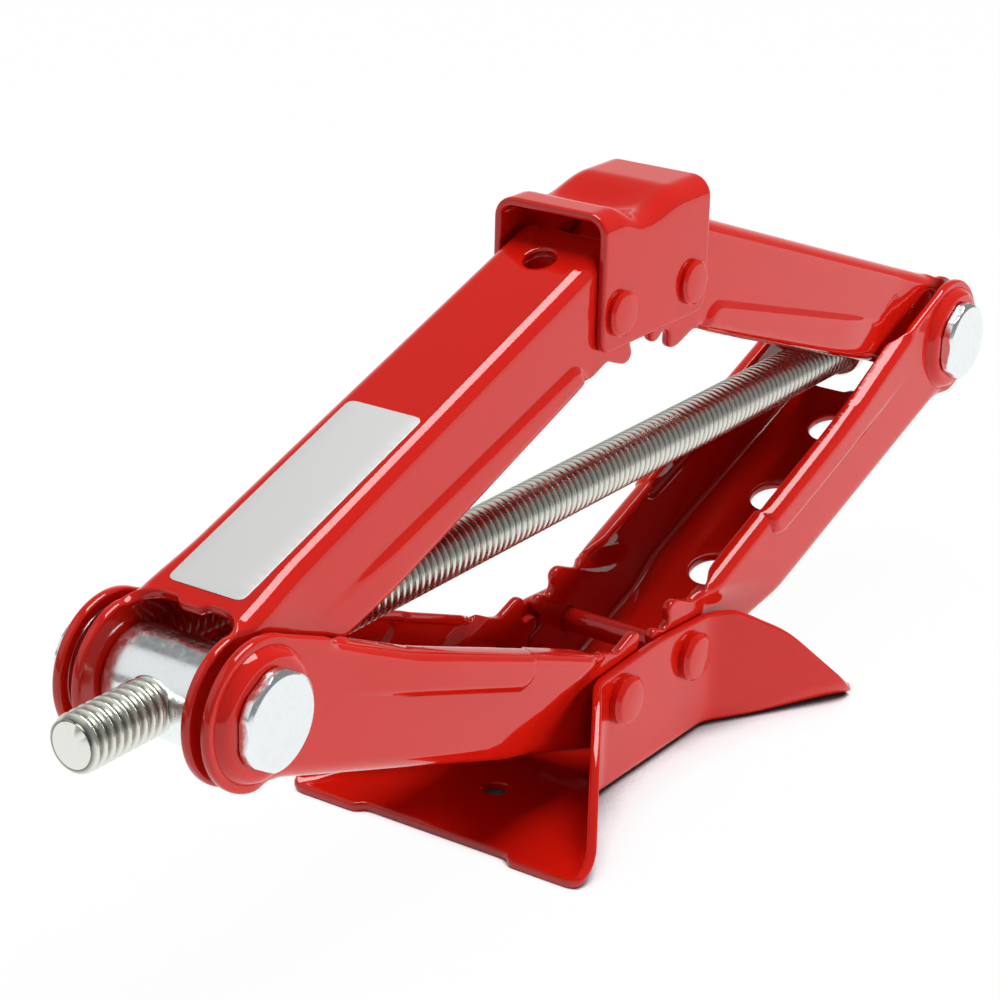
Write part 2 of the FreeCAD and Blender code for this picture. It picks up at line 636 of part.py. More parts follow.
def all_parts():
    parts = {
        "base_foot": base_foot(),
        "saddle": saddle(),
        "front_trunnion_nut": front_trunnion(),
        "rear_trunnion": rear_trunnion(),
        "lead_screw": lead_screw(),
        "stop_collar": ring_on_screw(shank_radius, COLLAR_WALL, thread_end, COLLAR_LENGTH),
        "thrust_washer": ring_on_screw(journal_radius, THRUST_WASHER_WALL, washer_start,
                                       THRUST_WASHER_LENGTH),
        "drive_head": drive_head(),
        "drive_pin": drive_pin(),
    }
    for name, front, pivot in (("front", True, front_pivot), ("rear", False, rear_pivot)):
        side_x = PIVOT_SPACING / 2 * (-1 if front else 1)
        parts["lower_arm_" + name] = lower_arm(front)
        parts["upper_arm_" + name] = upper_arm(front)
        parts["base_pin_" + name] = riveted_pin(side_x, base_pivot_z, base_out,
                                                BASE_PIN_HEAD_RADIUS, BASE_PIN_HEAD_HEIGHT)
        parts["saddle_pin_" + name] = riveted_pin(side_x, saddle_z, saddle_out,
                                                  SADDLE_PIN_HEAD_RADIUS, SADDLE_PIN_HEAD_HEIGHT)
        for side_name, side in (("near", -1), ("far", 1)):
            parts["pivot_bolt_" + name + "_" + side_name] = pivot_bolt(pivot, side)
            parts["spacer_" + name + "_" + side_name] = spacer(pivot, side)
    return parts


os.makedirs("parts", exist_ok=True)
for node, shape in all_parts().items():
    shape.exportStep("parts/" + node + ".step")
    print(node, len(shape.Solids), shape.isValid(), round(shape.Volume))
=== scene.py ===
# %% [markdown]
# # A scissor jack in red enamel, dressed over its CAD frame
# The jack is a linkage of pressed steel channels around one long screw. The CAD frame already holds
# the joints and the exact sizes. This lesson gives the same pieces what a press, a paint bath and a
# thread roller leave behind: soft bends, rounded sheet edges, a real thread, and four finishes.
# Blender works in metres. The lesson counts in millimetres and changes over when a mesh is made.

# %% The frame
import json
import math
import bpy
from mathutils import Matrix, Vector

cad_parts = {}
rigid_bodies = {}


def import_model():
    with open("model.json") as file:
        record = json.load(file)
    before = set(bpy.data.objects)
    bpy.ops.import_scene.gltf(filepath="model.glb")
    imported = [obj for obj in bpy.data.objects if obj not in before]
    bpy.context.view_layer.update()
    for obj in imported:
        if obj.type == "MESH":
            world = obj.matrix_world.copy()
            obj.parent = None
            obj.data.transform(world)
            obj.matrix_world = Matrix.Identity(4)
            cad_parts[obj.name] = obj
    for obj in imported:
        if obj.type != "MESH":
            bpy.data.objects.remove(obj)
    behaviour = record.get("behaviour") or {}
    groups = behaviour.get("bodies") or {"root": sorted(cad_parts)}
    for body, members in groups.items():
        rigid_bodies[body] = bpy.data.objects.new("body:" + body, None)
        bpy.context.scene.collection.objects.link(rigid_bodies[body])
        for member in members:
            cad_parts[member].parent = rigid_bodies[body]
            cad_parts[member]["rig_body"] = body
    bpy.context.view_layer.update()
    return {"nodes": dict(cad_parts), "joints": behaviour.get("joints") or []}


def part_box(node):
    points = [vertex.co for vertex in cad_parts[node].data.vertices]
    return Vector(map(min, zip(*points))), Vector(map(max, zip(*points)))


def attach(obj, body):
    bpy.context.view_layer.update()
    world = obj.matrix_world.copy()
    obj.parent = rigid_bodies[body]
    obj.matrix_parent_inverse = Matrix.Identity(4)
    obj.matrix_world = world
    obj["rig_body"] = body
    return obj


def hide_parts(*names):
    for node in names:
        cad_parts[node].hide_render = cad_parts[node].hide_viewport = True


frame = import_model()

from types import SimpleNamespace

import bpy
import numpy as np
from mathutils import Matrix, Vector
from mathutils.geometry import delaunay_2d_cdt
from numpy.linalg import norm

MM = 0.001
WHOLE, QUARTER = 2 * math.pi, math.pi / 2
pivot = {joint["name"]: np.array(joint["pos_m"]) / MM for joint in frame["joints"]}
foot_pivot = pivot["lower_front_pivot"]
trunnion_pivot = pivot["front_trunnion_pivot"]
saddle_pivot = pivot["saddle_pivot"]
arm_run = foot_pivot - trunnion_pivot
ARM = float(norm(arm_run))
SLOPE = math.atan2(-arm_run[2], arm_run[0])
SPACING = -2 * foot_pivot[0]
print(f"arms {ARM:.1f} mm long at {math.degrees(SLOPE):.1f} degrees, pivots {SPACING:.1f} mm apart")

# %% [markdown]
# ## Small tools for curves
# A press tool has no sharp corners, so nearly every line here is an outline with rounded corners, and
# nearly every step is a smooth ramp. A few helpers do that work: a ramp, a rounder that turns a few
# corners into a dense outline, a spacer that sets its points evenly, and a softener that rounds what a
# formula left sharp.

# %% Curve helpers
OUTLINE_STEP = 0.8
ARC_POINTS = 9
FEWEST = 12


def smooth(low, high, value):
    """0 below low, 1 above high, and 3t^2 - 2t^3 between, where t is the share of the way."""
    t = np.clip((value - low) / (high - low), 0, 1)
    return t * t * (3 - 2 * t)


def rounded(corners):
    """Points along a path through corners (x, y, radius): each corner is cut by an arc of its radius
    that touches both of its straight runs, and a corner of radius 0 stays a point."""
    spots = np.array([corner[:2] for corner in corners], float)
    runs = []
    earlier, later = np.roll(spots, 1, 0), np.roll(spots, -1, 0)
    for here, before, after, (_, _, radius) in zip(spots, earlier, later, corners):
        if radius == 0:
            runs.append(here[None])
            continue
        back = (before - here) / norm(before - here)
        ahead = (after - here) / norm(after - here)
        half = math.acos(np.clip(back @ ahead, -1, 1)) / 2
        middle = (back + ahead) / norm(back + ahead)
        centre = here + middle * radius / math.sin(half)
        sweep = np.linspace(-(QUARTER - half), QUARTER - half, ARC_POINTS)
        side = (ahead - back) / norm(ahead - back)
        runs.append(centre + radius * (np.outer(np.sin(sweep), side) - np.outer(np.cos(sweep), middle)))
    return np.vstack(runs)


def even(path, step=OUTLINE_STEP, closed=True):
    """The same path with its points an even step apart. An open path keeps both of its ends."""
    run = np.vstack([path, path[:1]]) if closed else path
    length = np.concatenate([[0], np.cumsum(norm(np.diff(run, axis=0), axis=1))])
    count = max(FEWEST, round(length[-1] / step))
    at = np.linspace(0, length[-1], count, endpoint=not closed)
    return np.column_stack([np.interp(at, length, run[:, axis]) for axis in (0, 1)])


def softened(path, passes):
    """Each point moves halfway to the middle of its two neighbours, a few times over."""
    for _ in range(passes):
        path = (np.roll(path, 1, 0) + 2 * path + np.roll(path, -1, 0)) / 4
    return path


def circle(x, y, radius):
    """A closed circle with points about an outline step apart."""
    count = max(2 * FEWEST, round(WHOLE * radius / OUTLINE_STEP))
    turn = np.linspace(0, WHOLE, count, endpoint=False)
    return pairs(x + radius * np.cos(turn), y + radius * np.sin(turn))


def oblong(x0, y0, x1, y1, radius):
    """The four corners of a rectangle, each with the same rounding."""
    return [(x0, y0, radius), (x1, y0, radius), (x1, y1, radius), (x0, y1, radius)]


def pairs(first, second):
    """Two grids, stretched to one shape, as rows of pairs."""
    return np.stack(np.broadcast_arrays(first, second), -1).reshape(-1, 2)


print("curve helpers ready, outlines every", OUTLINE_STEP, "mm")

# %% [markdown]
# ## From arrays to a mesh
# Every piece below ends as one array of points and a few arrays of faces. One helper puts them into a
# mesh in whole arrays, turns the faces outwards if the signed volume says they point in, and ties the
# piece to the CAD node that it stands for, so that it moves with that node's body.

# %% Mesh helper


def put(name, points, faces, node, material, replaces=True, sharp=None):
    """Makes the piece from points in mm and a list of triangle or quad arrays. The volume is a sixth of
    the sum of a . (b x c) over the triangles, and a negative one turns every face round."""
    triangles = np.vstack([f[:, [0, i, i + 1]] for f in faces for i in range(1, f.shape[1] - 1)])
    a, b, c = (points[triangles[:, i]] for i in range(3))
    volume = np.einsum("ij,ij->i", a, np.cross(b, c)).sum() / 6
    if volume < 0:
        faces = [f[:, ::-1] for f in faces]
    mesh = bpy.data.meshes.new(name)
    mesh.vertices.add(len(points))
    mesh.vertices.foreach_set("co", (points * MM).astype(np.float32).ravel())
    corners = np.concatenate([f.ravel() for f in faces])
    sizes = np.concatenate([np.full(len(f), f.shape[1]) for f in faces])
    mesh.loops.add(len(corners))
    mesh.loops.foreach_set("vertex_index", corners.astype(np.int32))
    mesh.polygons.add(len(sizes))
    starts = np.concatenate([[0], np.cumsum(sizes)[:-1]])
    mesh.polygons.foreach_set("loop_start", starts.astype(np.int32))
    mesh.update(calc_edges=True)
    mesh.validate()
    mesh.shade_smooth()
    if sharp:
        mesh.set_sharp_from_angle(angle=math.radians(sharp))
    mesh.materials.append(material)
    piece = bpy.data.objects.new(name, mesh)
    bpy.context.scene.collection.objects.link(piece)
    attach(piece, frame["nodes"][node]["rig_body"])
    if replaces:
        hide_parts(node)
    print(f"{name}: {len(triangles)} triangles, {abs(volume) / 1000:.1f} cm3")
    return piece


# %% [markdown]
# ## Finishes: small tools for nodes
# Each finish starts from what the real surface is and how it was made. A finish is a function that adds
# its shader to a tree of nodes. A pattern's scale is a real size in millimetres, read on Object
# coordinates, which are metres here.

# %% Material helpers
CLOUD_LOW, CLOUD_HIGH = 0.3, 0.7


def srgb(code):
    """Linear colour of a hex code: each channel c becomes ((c + 0.055) / 1.055) ^ 2.4."""
    channels = [int(code[i:i + 2], 16) / 255 for i in (1, 3, 5)]
    return (*(c / 12.92 if c < 0.04045 else ((c + 0.055) / 1.055) ** 2.4 for c in channels), 1)


def node(tree, kind, links=(), fixed=(), **settings):
    """Adds a node. A setting is a property of the node or, failing that, the value of an input socket
    whose name has spaces in place of underscores. A link is (input, other node, its output), and a fixed
    value is (input, value)."""
    made = tree.nodes.new("ShaderNode" + kind)
    for socket, value in fixed:
        made.inputs[socket].default_value = value
    for key, value in settings.items():
        if hasattr(made, key):
            setattr(made, key, value)
        else:
            made.inputs[key.replace("_", " ")].default_value = value
    for socket, other, output in links:
        tree.links.new(other.outputs[output], made.inputs[socket])
    return made


def maths(tree, operation, *values):
    """A maths node on values that are each given as (node, its output)."""
    return node(tree, "Math", [(i, *value) for i, value in enumerate(values)], operation=operation)


def finish(name, shading):
    """A new material whose surface is the shader that shading adds to its tree."""
    material = bpy.data.materials.new(name)
    material.use_nodes = True
    tree = material.node_tree
    tree.nodes.clear()
    node(tree, "OutputMaterial", [("Surface", shading(tree), 0)])
    print("made", name)
    return material


def clouds(tree, size, detail, roughness):
    """Noise in patches of a size in mm."""
    place = node(tree, "TexCoord")
    return node(tree, "TexNoise", [("Vector", place, "Object")],
                Scale=1 / (size * MM), Detail=detail, Roughness=roughness)


def ramp(tree, link, *stops):
    """A colour ramp through stops of (share, hex code), from low to high."""
    made = node(tree, "ValToRGB", [link])
    marks = made.color_ramp.elements
    marks[0].position, marks[1].position = stops[0][0], stops[-1][0]
    for share, _ in stops[1:-1]:
        marks.new(share)
    for mark, (_, code) in zip(marks, stops):
        mark.color = srgb(code)
    return made


def metal(tree, cloud, tint, least, most):
    """Bare metal of a tint, whose roughness goes from least to most with the clouds."""
    dull = node(tree, "MapRange", [("Value", cloud, "Fac")],
                From_Min=CLOUD_LOW, From_Max=CLOUD_HIGH, To_Min=least, To_Max=most)
    return node(tree, "BsdfPrincipled",
                [("Base Color", tint, "Color"), ("Roughness", dull, "Result")], Metallic=1.0)


print("colours are read from sRGB hex: a middle grey is", round(srgb("#808080")[0], 3))

# %% [markdown]
# ### Red stoving enamel
# The sheet is dipped or sprayed with thick enamel and baked. The eye sees a deep, saturated red under a
# clear glossy skin, with a slight orange peel that makes reflections wander. A coat layer over a duller
# base gives the skin, and a very low bump of a few millimetres across gives the orange peel.

# %% Red enamel
PEEL, PEEL_HEIGHT = 5.0, 0.3


def red_enamel(tree):
    peel = clouds(tree, PEEL, 1.0, 0.4)
    bump = node(tree, "Bump", [("Height", peel, "Fac")],
                Strength=0.04, Distance=PEEL_HEIGHT * MM)
    return node(tree, "BsdfPrincipled",
                [("Normal", bump, "Normal"), ("Coat Normal", bump, "Normal")],
                Base_Color=srgb("#cf190d"), Roughness=0.5, Coat_Weight=1.0, Coat_Roughness=0.04,
                Specular_IOR_Level=0.0)


ENAMEL = finish("red_stoving_enamel", red_enamel)

# %% [markdown]
# ### Clear zinc plate
# The trunnions, bolts and spacers are turned steel with a bright zinc plate. Zinc is a cool, faintly
# blue metal, and the plating bath leaves soft clouds a few millimetres across where it is duller.

# %% Zinc plate
CLOUD = 2.0


def zinc_plate(tree):
    cloud = clouds(tree, CLOUD, 5.0, 0.65)
    tint = ramp(tree, ("Fac", cloud, "Fac"), (CLOUD_LOW, "#ebf1f4"), (CLOUD_HIGH, "#f6fbfa"))
    return metal(tree, cloud, tint, 0.12, 0.3)


ZINC = finish("clear_zinc_plate", zinc_plate)

# %% [markdown]
# ### Rolled and passivated screw steel
# The colour goes from bright at the crest to dark at the root, read from the distance to the screw's
# axis: the dark root is painted shade in the thread's grooves. The end face lies within the root's
# circle.

# %% Screw steel
CREST, ROOT, END_RADIUS = 8.0, 6.4, 6.2
axis_z = trunnion_pivot[2]


def screw_steel_painted_root_shade(tree):
    place = node(tree, "TexCoord")
    centred = node(tree, "VectorMath", [(0, place, "Object")], [(1, (0, 0, -axis_z * MM))])
    across = node(tree, "VectorMath", [(0, centred, "Vector")], [(1, (0, 1, 1))],
                  operation="MULTIPLY")
    far = node(tree, "VectorMath", [(0, across, "Vector")], operation="LENGTH")
    share = node(tree, "MapRange", [("Value", far, "Value")],
                 From_Min=END_RADIUS * MM, From_Max=CREST * MM)
    # The dark stop near the root is painted shade in the thread's grooves; the crest and the end face
    # stay light.
    tint = ramp(tree, ("Fac", share, "Result"),
                (0.0, "#e9e9e3"), (0.04, "#e9e9e3"), (0.09, "#676a5e"), (0.8, "#e7e8df"))
    return metal(tree, clouds(tree, CLOUD, 4.0, 0.6), tint, 0.24, 0.32)


SCREW_PAINTED_SHADE = finish("rolled_passivated_steel", screw_steel_painted_root_shade)

# %% [markdown]
# ### Satin foil
# A bare plate of satin aluminium foil is stuck on the front upper arm. Its grain is too fine to show.

# %% Foil


def satin_foil(tree):
    return node(tree, "BsdfPrincipled",
                Base_Color=srgb("#dcdddb"), Metallic=0.35, Roughness=0.4)


FOIL = finish("satin_aluminium_foil", satin_foil)

# %% [markdown]
# ## Pressed sheet: a flat blank, folded
# Arms, foot and saddle are all cut from flat sheet and then bent. The lesson does the same. A piece
# starts as a flat blank: a closed outline with holes, filled with an even net of points. A formula, the
# fold, carries every point of the blank onto the middle of the bent sheet. The two skins lie half a
# sheet to either side, along the fold's own normal, and a rounded rim joins them round every edge.
# Painted sheet edges are never sharp, and that rim is what catches the light along them.

# %% Edges of a blank
KEPT_RIM, NORMAL_STEP = 0.96, 0.02


def inside(points, loops):
    """True where a ray from the point along +x crosses the loops an odd number of times."""
    odd = np.zeros(len(points), int)
    x, y = points[:, :1], points[:, 1:]
    for loop in loops:
        (ax, ay), (bx, by) = loop.T, np.roll(loop, -1, 0).T
        crossed = (ay > y) != (by > y)
        slope = (bx - ax) / np.where(by == ay, 1, by - ay)
        odd += np.count_nonzero(crossed & (x < ax + (y - ay) * slope), axis=1)
    return odd % 2 == 1


def outward(loop):
    """Unit vectors pointing out of the sheet along a loop that keeps the sheet on its left."""
    ahead = np.roll(loop, -1, 0) - np.roll(loop, 1, 0)
    return pairs(ahead[:, 1], -ahead[:, 0]) / norm(ahead, axis=1, keepdims=True)


def turned_left(loop, left):
    """The loop run so that its inside is on its left, or on its right for a hole."""
    x, y = loop.T
    area = (x * np.roll(y, -1) - np.roll(x, -1) * y).sum()
    return loop if (area > 0) == left else loop[::-1]


def on_sheet(fold, flat, lift):
    """The fold's point, moved by lift along the normal: the cross product of the fold's two slopes."""
    along = fold(flat + [NORMAL_STEP, 0]) - fold(flat - [NORMAL_STEP, 0])
    across = fold(flat + [0, NORMAL_STEP]) - fold(flat - [0, NORMAL_STEP])
    normal = np.cross(along, across)
    return fold(flat) + normal / norm(normal, axis=1, keepdims=True) * lift


def gap_to(points, others):
    """Distance from each point to the nearest of the others."""
    return norm(points[:, None] - others[None], axis=2).min(1)


def drawn_in(loop, rim):
    """The loop moved into the sheet by rim. Points that came nearer than that to any part of the loop,
    as they do in a tight corner, are left out, and the rest is spread evenly again."""
    inner = loop - outward(loop) * rim
    return softened(even(inner[gap_to(inner, loop) > KEPT_RIM * rim]), 1)


print("a blank's edges keep", KEPT_RIM, "of the rim clear in tight corners")

# %% [markdown]
# ### The sheet maker
# The points of edges and net are joined by a Delaunay triangulation that keeps every edge. Both skins
# share its triangles. A Solidify modifier would do as much on a plain sheet, but not the squared rim.

# %% The sheet maker
SHEET, RIM, RIM_STEPS, RIM_SQUARE = 3.0, 0.9, 7, 0.75
KEPT_NET, NET_PARTS, TOUCHING = 0.6, 12, 1e-5


def pressed(outline, holes, net, fold, sheet, rim=RIM):
    """Points and faces of a bent sheet. The net fills the blank inside its rim. Round every edge the rim
    runs from one skin to the other on a squared half circle: out by rim sin(t)^n, up by half the sheet
    times cos(t)^n, for t from 0 to half a turn."""
    loops = [turned_left(outline, True)] + [turned_left(hole, False) for hole in holes]
    edges = [drawn_in(loop, rim) for loop in loops]
    ways = [outward(edge) for edge in edges]
    edge_points = np.vstack(edges)
    net = net[inside(net, edges)]
    gap = np.concatenate([gap_to(part, edge_points) for part in np.array_split(net, NET_PARTS)])
    flat = np.vstack([edge_points, net[gap > KEPT_NET * OUTLINE_STEP]])
    starts = np.cumsum([0] + [len(edge) for edge in edges])
    rings = [np.arange(a, b) for a, b in zip(starts, starts[1:])]
    fixed = np.vstack([pairs(ring, np.roll(ring, -1)) for ring in rings])
    corners = [Vector(p) for p in flat]
    spots, _, found, _, _, _ = delaunay_2d_cdt(corners, fixed.tolist(), [], 0, TOUCHING)
    assert len(spots) == len(flat), "the blank's outline crosses itself"
    triangles = np.array(found)
    triangles = triangles[inside(flat[triangles].mean(1), edges)]
    half = sheet / 2
    count = len(flat)
    points = [on_sheet(fold, flat, half), on_sheet(fold, flat, -half)]
    faces = [triangles, triangles[:, ::-1] + count]
    quads = []
    total = 2 * count
    turn = np.linspace(0, math.pi, RIM_STEPS + 1)[1:-1]
    bulge = np.sin(turn) ** RIM_SQUARE
    lift = np.sign(np.cos(turn)) * np.abs(np.cos(turn)) ** RIM_SQUARE * half
    for edge, way, ring in zip(edges, ways, rings):
        rows = edge[None] + way[None] * (rim * bulge)[:, None, None]
        lifts = np.repeat(lift, len(edge))[:, None]
        points.append(on_sheet(fold, rows.reshape(-1, 2), lifts))
        between = total + np.arange(rows.shape[0] * len(edge)).reshape(rows.shape[:2])
        grid = np.vstack([ring, between, ring + count])
        upper, lower = grid[:-1], grid[1:]
        sides = [np.roll(upper, -1, 1), upper, lower, np.roll(lower, -1, 1)]
        quads.append(np.stack(sides, 2).reshape(-1, 4))
        total += rows.shape[0] * len(edge)
    return np.vstack(points), faces + [np.vstack(quads)]


def bent(past, radius, most=QUARTER):
    """How far out and how far down a strip has gone after running past the start of a bend: out by
    R sin(turn) and down by R (1 - cos(turn)), then straight on in the direction of the whole turn."""
    turn = np.clip(past / radius, 0, most)
    beyond = np.maximum(past - radius * most, 0)
    out = radius * np.sin(turn) + np.minimum(past, 0) + beyond * math.cos(most)
    down = radius * (1 - np.cos(turn)) + beyond * math.sin(most)
    return out, down


print(f"sheet {SHEET} mm with a rim of {RIM} mm in {RIM_STEPS} steps")

# %% [markdown]
# ## The four arms
# An arm is a channel: a web, two walls, a round end on the trunnion and a toothed end on the pivot pin.
# Along the free edge of each wall runs a strip, pressed outwards by half a sheet and closed by a small
# inward lip. s counts along the arm from the trunnion, k from the arm's axis towards its web, and q
# across the blank from the middle of the web.
# The upper and the lower arm share one fold. What differs is kept in two short lists of sizes: the
# web's height over the axis, its overhang past the pivot and its mouth, where the round end begins, the
# teeth's phase, where the bend opens, half the width, the free edge's depth, the strip and its soft
# ledge, where the lip begins, the holes in the web, and how far the lower arm narrows and its boss
# rises.

# %% Sizes of the arms
BEND = 5.0
LIP_BEND, LIP_FLAT, LIP_TURN = 4.0, 3.2, math.radians(76)
LIP_END = ARM - 15
LIP_LEAD, LIP_EASE = 1.0, 5.0
STRIP_RISE, STRIP_CORNER = 1.5, 6.0
LOBE = 21.0
TAB_HALF, TAB, TAB_ROUND = 4.5, 2.0, 0.8
MOUTH_EDGE, MOUTH_ROUND = 2.0, 6.0
BOSS_EDGE, BOSS_SOFT = 16.7, 1.3
CREASE, CREASE_LATE, CREASE_CURVE = (ARM - 60, ARM - 36), (43.0, 27.0), 1.5
MID = SHEET / 2
bend_mid = BEND - MID
lip_mid = LIP_BEND - MID
lip_spare = lip_mid * LIP_TURN + LIP_FLAT - LIP_BEND


def line_through(*points):
    """A function of s that runs straight from point to point of (s, value)."""
    stations, values = zip(*points)
    return lambda s: np.interp(s, stations, values)


UPPER = SimpleNamespace(
    name="upper", web=20.0, overhang=7.0, mouth=12.0, lobe_from=78.0, phase=24.0, opens=(2.0, 13.0),
    half=lambda s: 19.8 - 1.4 * smooth(11, 36, s) - 1.5 * np.clip((s - 32) / (ARM - 32), 0, 1.2),
    free=line_through((4, LOBE), (37, 14), (ARM, 14)),
    strip=(35.0, ARM - 20.0), fade=(34.0, 72.0), ledge=line_through((35, 0.5), (ARM - 20, -5.5)),
    soft=3.4, lip=36.0, holes=[(ARM - 8.0, 5.0)], narrowing=0.0, boss=0.0)
LOWER = SimpleNamespace(
    name="lower", web=18.3, overhang=5.0, mouth=24.0, lobe_from=58.0, phase=16.0, opens=(3.0, 20.0),
    half=lambda s: 26.2 - 3.0 * smooth(*CREASE, s),
    free=line_through((4, LOBE), (20, 20.2), (40, 18), (65, 16), (ARM - 55, 14.8), (ARM - 17, 13.6),
                      (ARM, 13.6)),
    strip=(28.0, ARM - 57.0), fade=(28.0, 90.0), ledge=line_through((28, -4.8), (ARM - 57, -4.8)),
    soft=2.2, lip=24.0, holes=[(45.0, 7.5), (87.5, 7.5), (130.0, 7.5)], narrowing=3.0, boss=3.0)
print("lip adds", round(lip_spare, 2), "mm to the blank")

# %% [markdown]
# ### Gear teeth
# The arms are geared to each other at both ends, so that the jack rises straight. Each tooth is an
# involute: the curve that a taut thread draws as it unwinds from a circle. Seen from the pivot, the
# outline's radius is one function of the angle, so the whole toothed edge is a single formula.

# %% Tooth outline
TEETH = 10
PRESSURE = math.radians(22)
ADDENDUM, DEDENDUM, BACKLASH = 0.66, 0.95, 0.5
FILLED, STUB = 8.5, 1.0
ANGLE_STEP, FLANK_POINTS = 0.6, 12
STOP_SHARE, UNDER_WEB, SHOULDER_DROP = 0.8, 0.3, 0.3
pitch_radius = SPACING / 2
module = SPACING / TEETH
tip_radius = pitch_radius + ADDENDUM * module
root_radius = pitch_radius - DEDENDUM * module
thread_radius = pitch_radius * math.cos(PRESSURE)
shoulder_radius = pitch_radius - SHOULDER_DROP
STEP = 360 / TEETH


def tooth_half_angle(radius):
    """Half a tooth's angle: at the pitch circle a quarter of the pitch less backlash, and elsewhere more
    or less by the difference of tan(a) - a, where cos(a) is the thread's circle over this one."""
    def unwound(angle):
        return np.tan(angle) - angle
    at_pitch = math.pi / (2 * TEETH) - BACKLASH / (4 * pitch_radius)
    here = np.arccos(np.minimum(1, thread_radius / radius))
    return np.degrees(at_pitch + unwound(PRESSURE) - unwound(here))


def toothed_end(arm, front):
    """Points (s, k) round the pivot from the free edge over the teeth to the shoulder below the web: at
    each angle the radius is looked up by how far the nearest tooth's middle is. The last tooth is never
    passed by a mating one on its outer side, so it is a low stub that runs straight to the free edge."""
    steps = (1, 0, -1) if front else (1.5, 0.5, -0.5, -1.5)
    middles = [-(arm.phase + step * STEP) - math.degrees(SLOPE) for step in steps]
    rise = np.linspace(tip_radius, thread_radius, FLANK_POINTS)
    flank = tooth_half_angle(rise)
    stop = max(middles) + STOP_SHARE * STEP
    last = max(math.degrees(math.asin((arm.web - SHEET - UNDER_WEB) / shoulder_radius)), stop + 1)
    angle = np.arange(min(middles) - flank[0], last, ANGLE_STEP)
    away = np.abs(angle[:, None] - np.array(middles)[None]).min(1)
    radius = np.interp(away, np.append(flank, flank[-1] + ANGLE_STEP), np.append(rise, root_radius))
    radius = np.where(angle > stop, shoulder_radius, radius)
    outermost = angle < min(middles) + STEP / 2
    radius = np.where(outermost, np.minimum(radius, pitch_radius + STUB), radius)
    turn = np.radians(angle)
    teeth = pairs(ARM + radius * np.cos(turn), radius * np.sin(turn))
    filled = np.array([(teeth[0, 0] - FILLED, -arm.free(ARM))])
    return np.vstack([filled, teeth])


print(f"tip radius {tip_radius:.1f}, root radius {root_radius:.1f} mm")

# %% [markdown]
# ### The blank of an arm
# One half of the blank is walked corner by corner: the mouth with its tab, the round end, the free edge
# with its lip, the teeth, and the web's end. The other half mirrors it.

# %% Blank of an arm
LOBE_TO, LOBE_STEP = 281, 2.0
MOUTH_JOIN, WEB_JOIN, WEB_EDGE = (0.7, 0.3), (0.6, -0.4), 1.5
EDGE_STEP, EDGE_ENDS, LIP_CORNER = 5.0, (10.0, 9.0), 5.5
ARM_STEP, CRISP, SOFT, SOFT_FROM = 0.5, 3, 9, (20.0, 40.0)


def on_blank(arm, s, k):
    """Where a wall point lies on the blank: half the web, the length round the bend, down the wall."""
    return arm.half(s) - MID - bend_mid + bend_mid * QUARTER + (arm.web - MID - bend_mid - k)


def arm_outline(arm, front):
    """The closed blank of an arm. All of it is rounded a little, and more so past the mouth."""
    start, end = arm.lip, LIP_END
    mouth_half = arm.half(0) - SHEET - MOUTH_EDGE
    turn = np.radians(np.arange(arm.lobe_from, LOBE_TO, LOBE_STEP))
    lobe = pairs(LOBE * np.cos(turn), LOBE * np.sin(turn))
    mouth = rounded([(arm.mouth - TAB, 0, 0), (arm.mouth - TAB, TAB_HALF, TAB_ROUND),
                     (arm.mouth, TAB_HALF, TAB_ROUND), (arm.mouth, mouth_half, MOUTH_ROUND),
                     (lobe[0, 0] + MOUTH_JOIN[0], mouth_half + MOUTH_JOIN[1], 0)])
    middle = np.arange(start + EDGE_ENDS[0], end - EDGE_ENDS[1], EDGE_STEP)
    stations = np.concatenate([(start - LIP_LEAD, start + LIP_CORNER), middle,
                               (end - LIP_CORNER, end + LIP_LEAD)])
    lip = np.concatenate([(0, 0), np.full(len(middle), lip_spare), (0, 0)])
    edge = pairs(stations, on_blank(arm, stations, -arm.free(stations)) + lip)
    round_end, geared_end = (pairs(s, on_blank(arm, s, k))
                             for s, k in (lobe.T, toothed_end(arm, front).T))
    last = geared_end[-1, 1]
    web_end = ARM + arm.overhang
    web = [(web_end + WEB_JOIN[0], last + WEB_JOIN[1]), (web_end, last - WEB_EDGE), (web_end, 0)]
    half = np.vstack([mouth, round_end, edge, geared_end, web])
    whole = np.vstack([half, half[::-1] * [1, -1]])
    crisp = softened(even(whole, ARM_STEP), CRISP)
    return crisp + (softened(crisp, SOFT) - crisp) * smooth(*SOFT_FROM, crisp[:, :1])


for arm in (UPPER, LOWER):
    long, wide = np.ptp(arm_outline(arm, True), axis=0)
    print(f"blank of the {arm.name} arm: {long:.0f} by {wide:.0f} mm")

# %% [markdown]
# ### The fold of an arm
# The fold bends the walls down, opens the bend out near the trunnion so that the round end stands flat,
# presses the strip and the boss outwards, and rolls the lip in.

# %% Fold of an arm
WALL_FOOT = 14.0
OPENED_FROM = (-7.0, -3.5)


def into_strip(arm, s, k):
    """How deep a wall point lies inside the strip's outline, whose two inner corners are round: the
    corner's radius less the distance from the corner's centre, or from the straight run between."""
    start, end = arm.strip
    beside = np.maximum(start + STRIP_CORNER - s, s - (end - STRIP_CORNER))
    above = k - (arm.ledge(s) - STRIP_CORNER)
    outside = np.hypot(np.maximum(beside, 0), np.maximum(above, 0))
    return STRIP_CORNER - (outside + np.minimum(np.maximum(beside, above), 0))


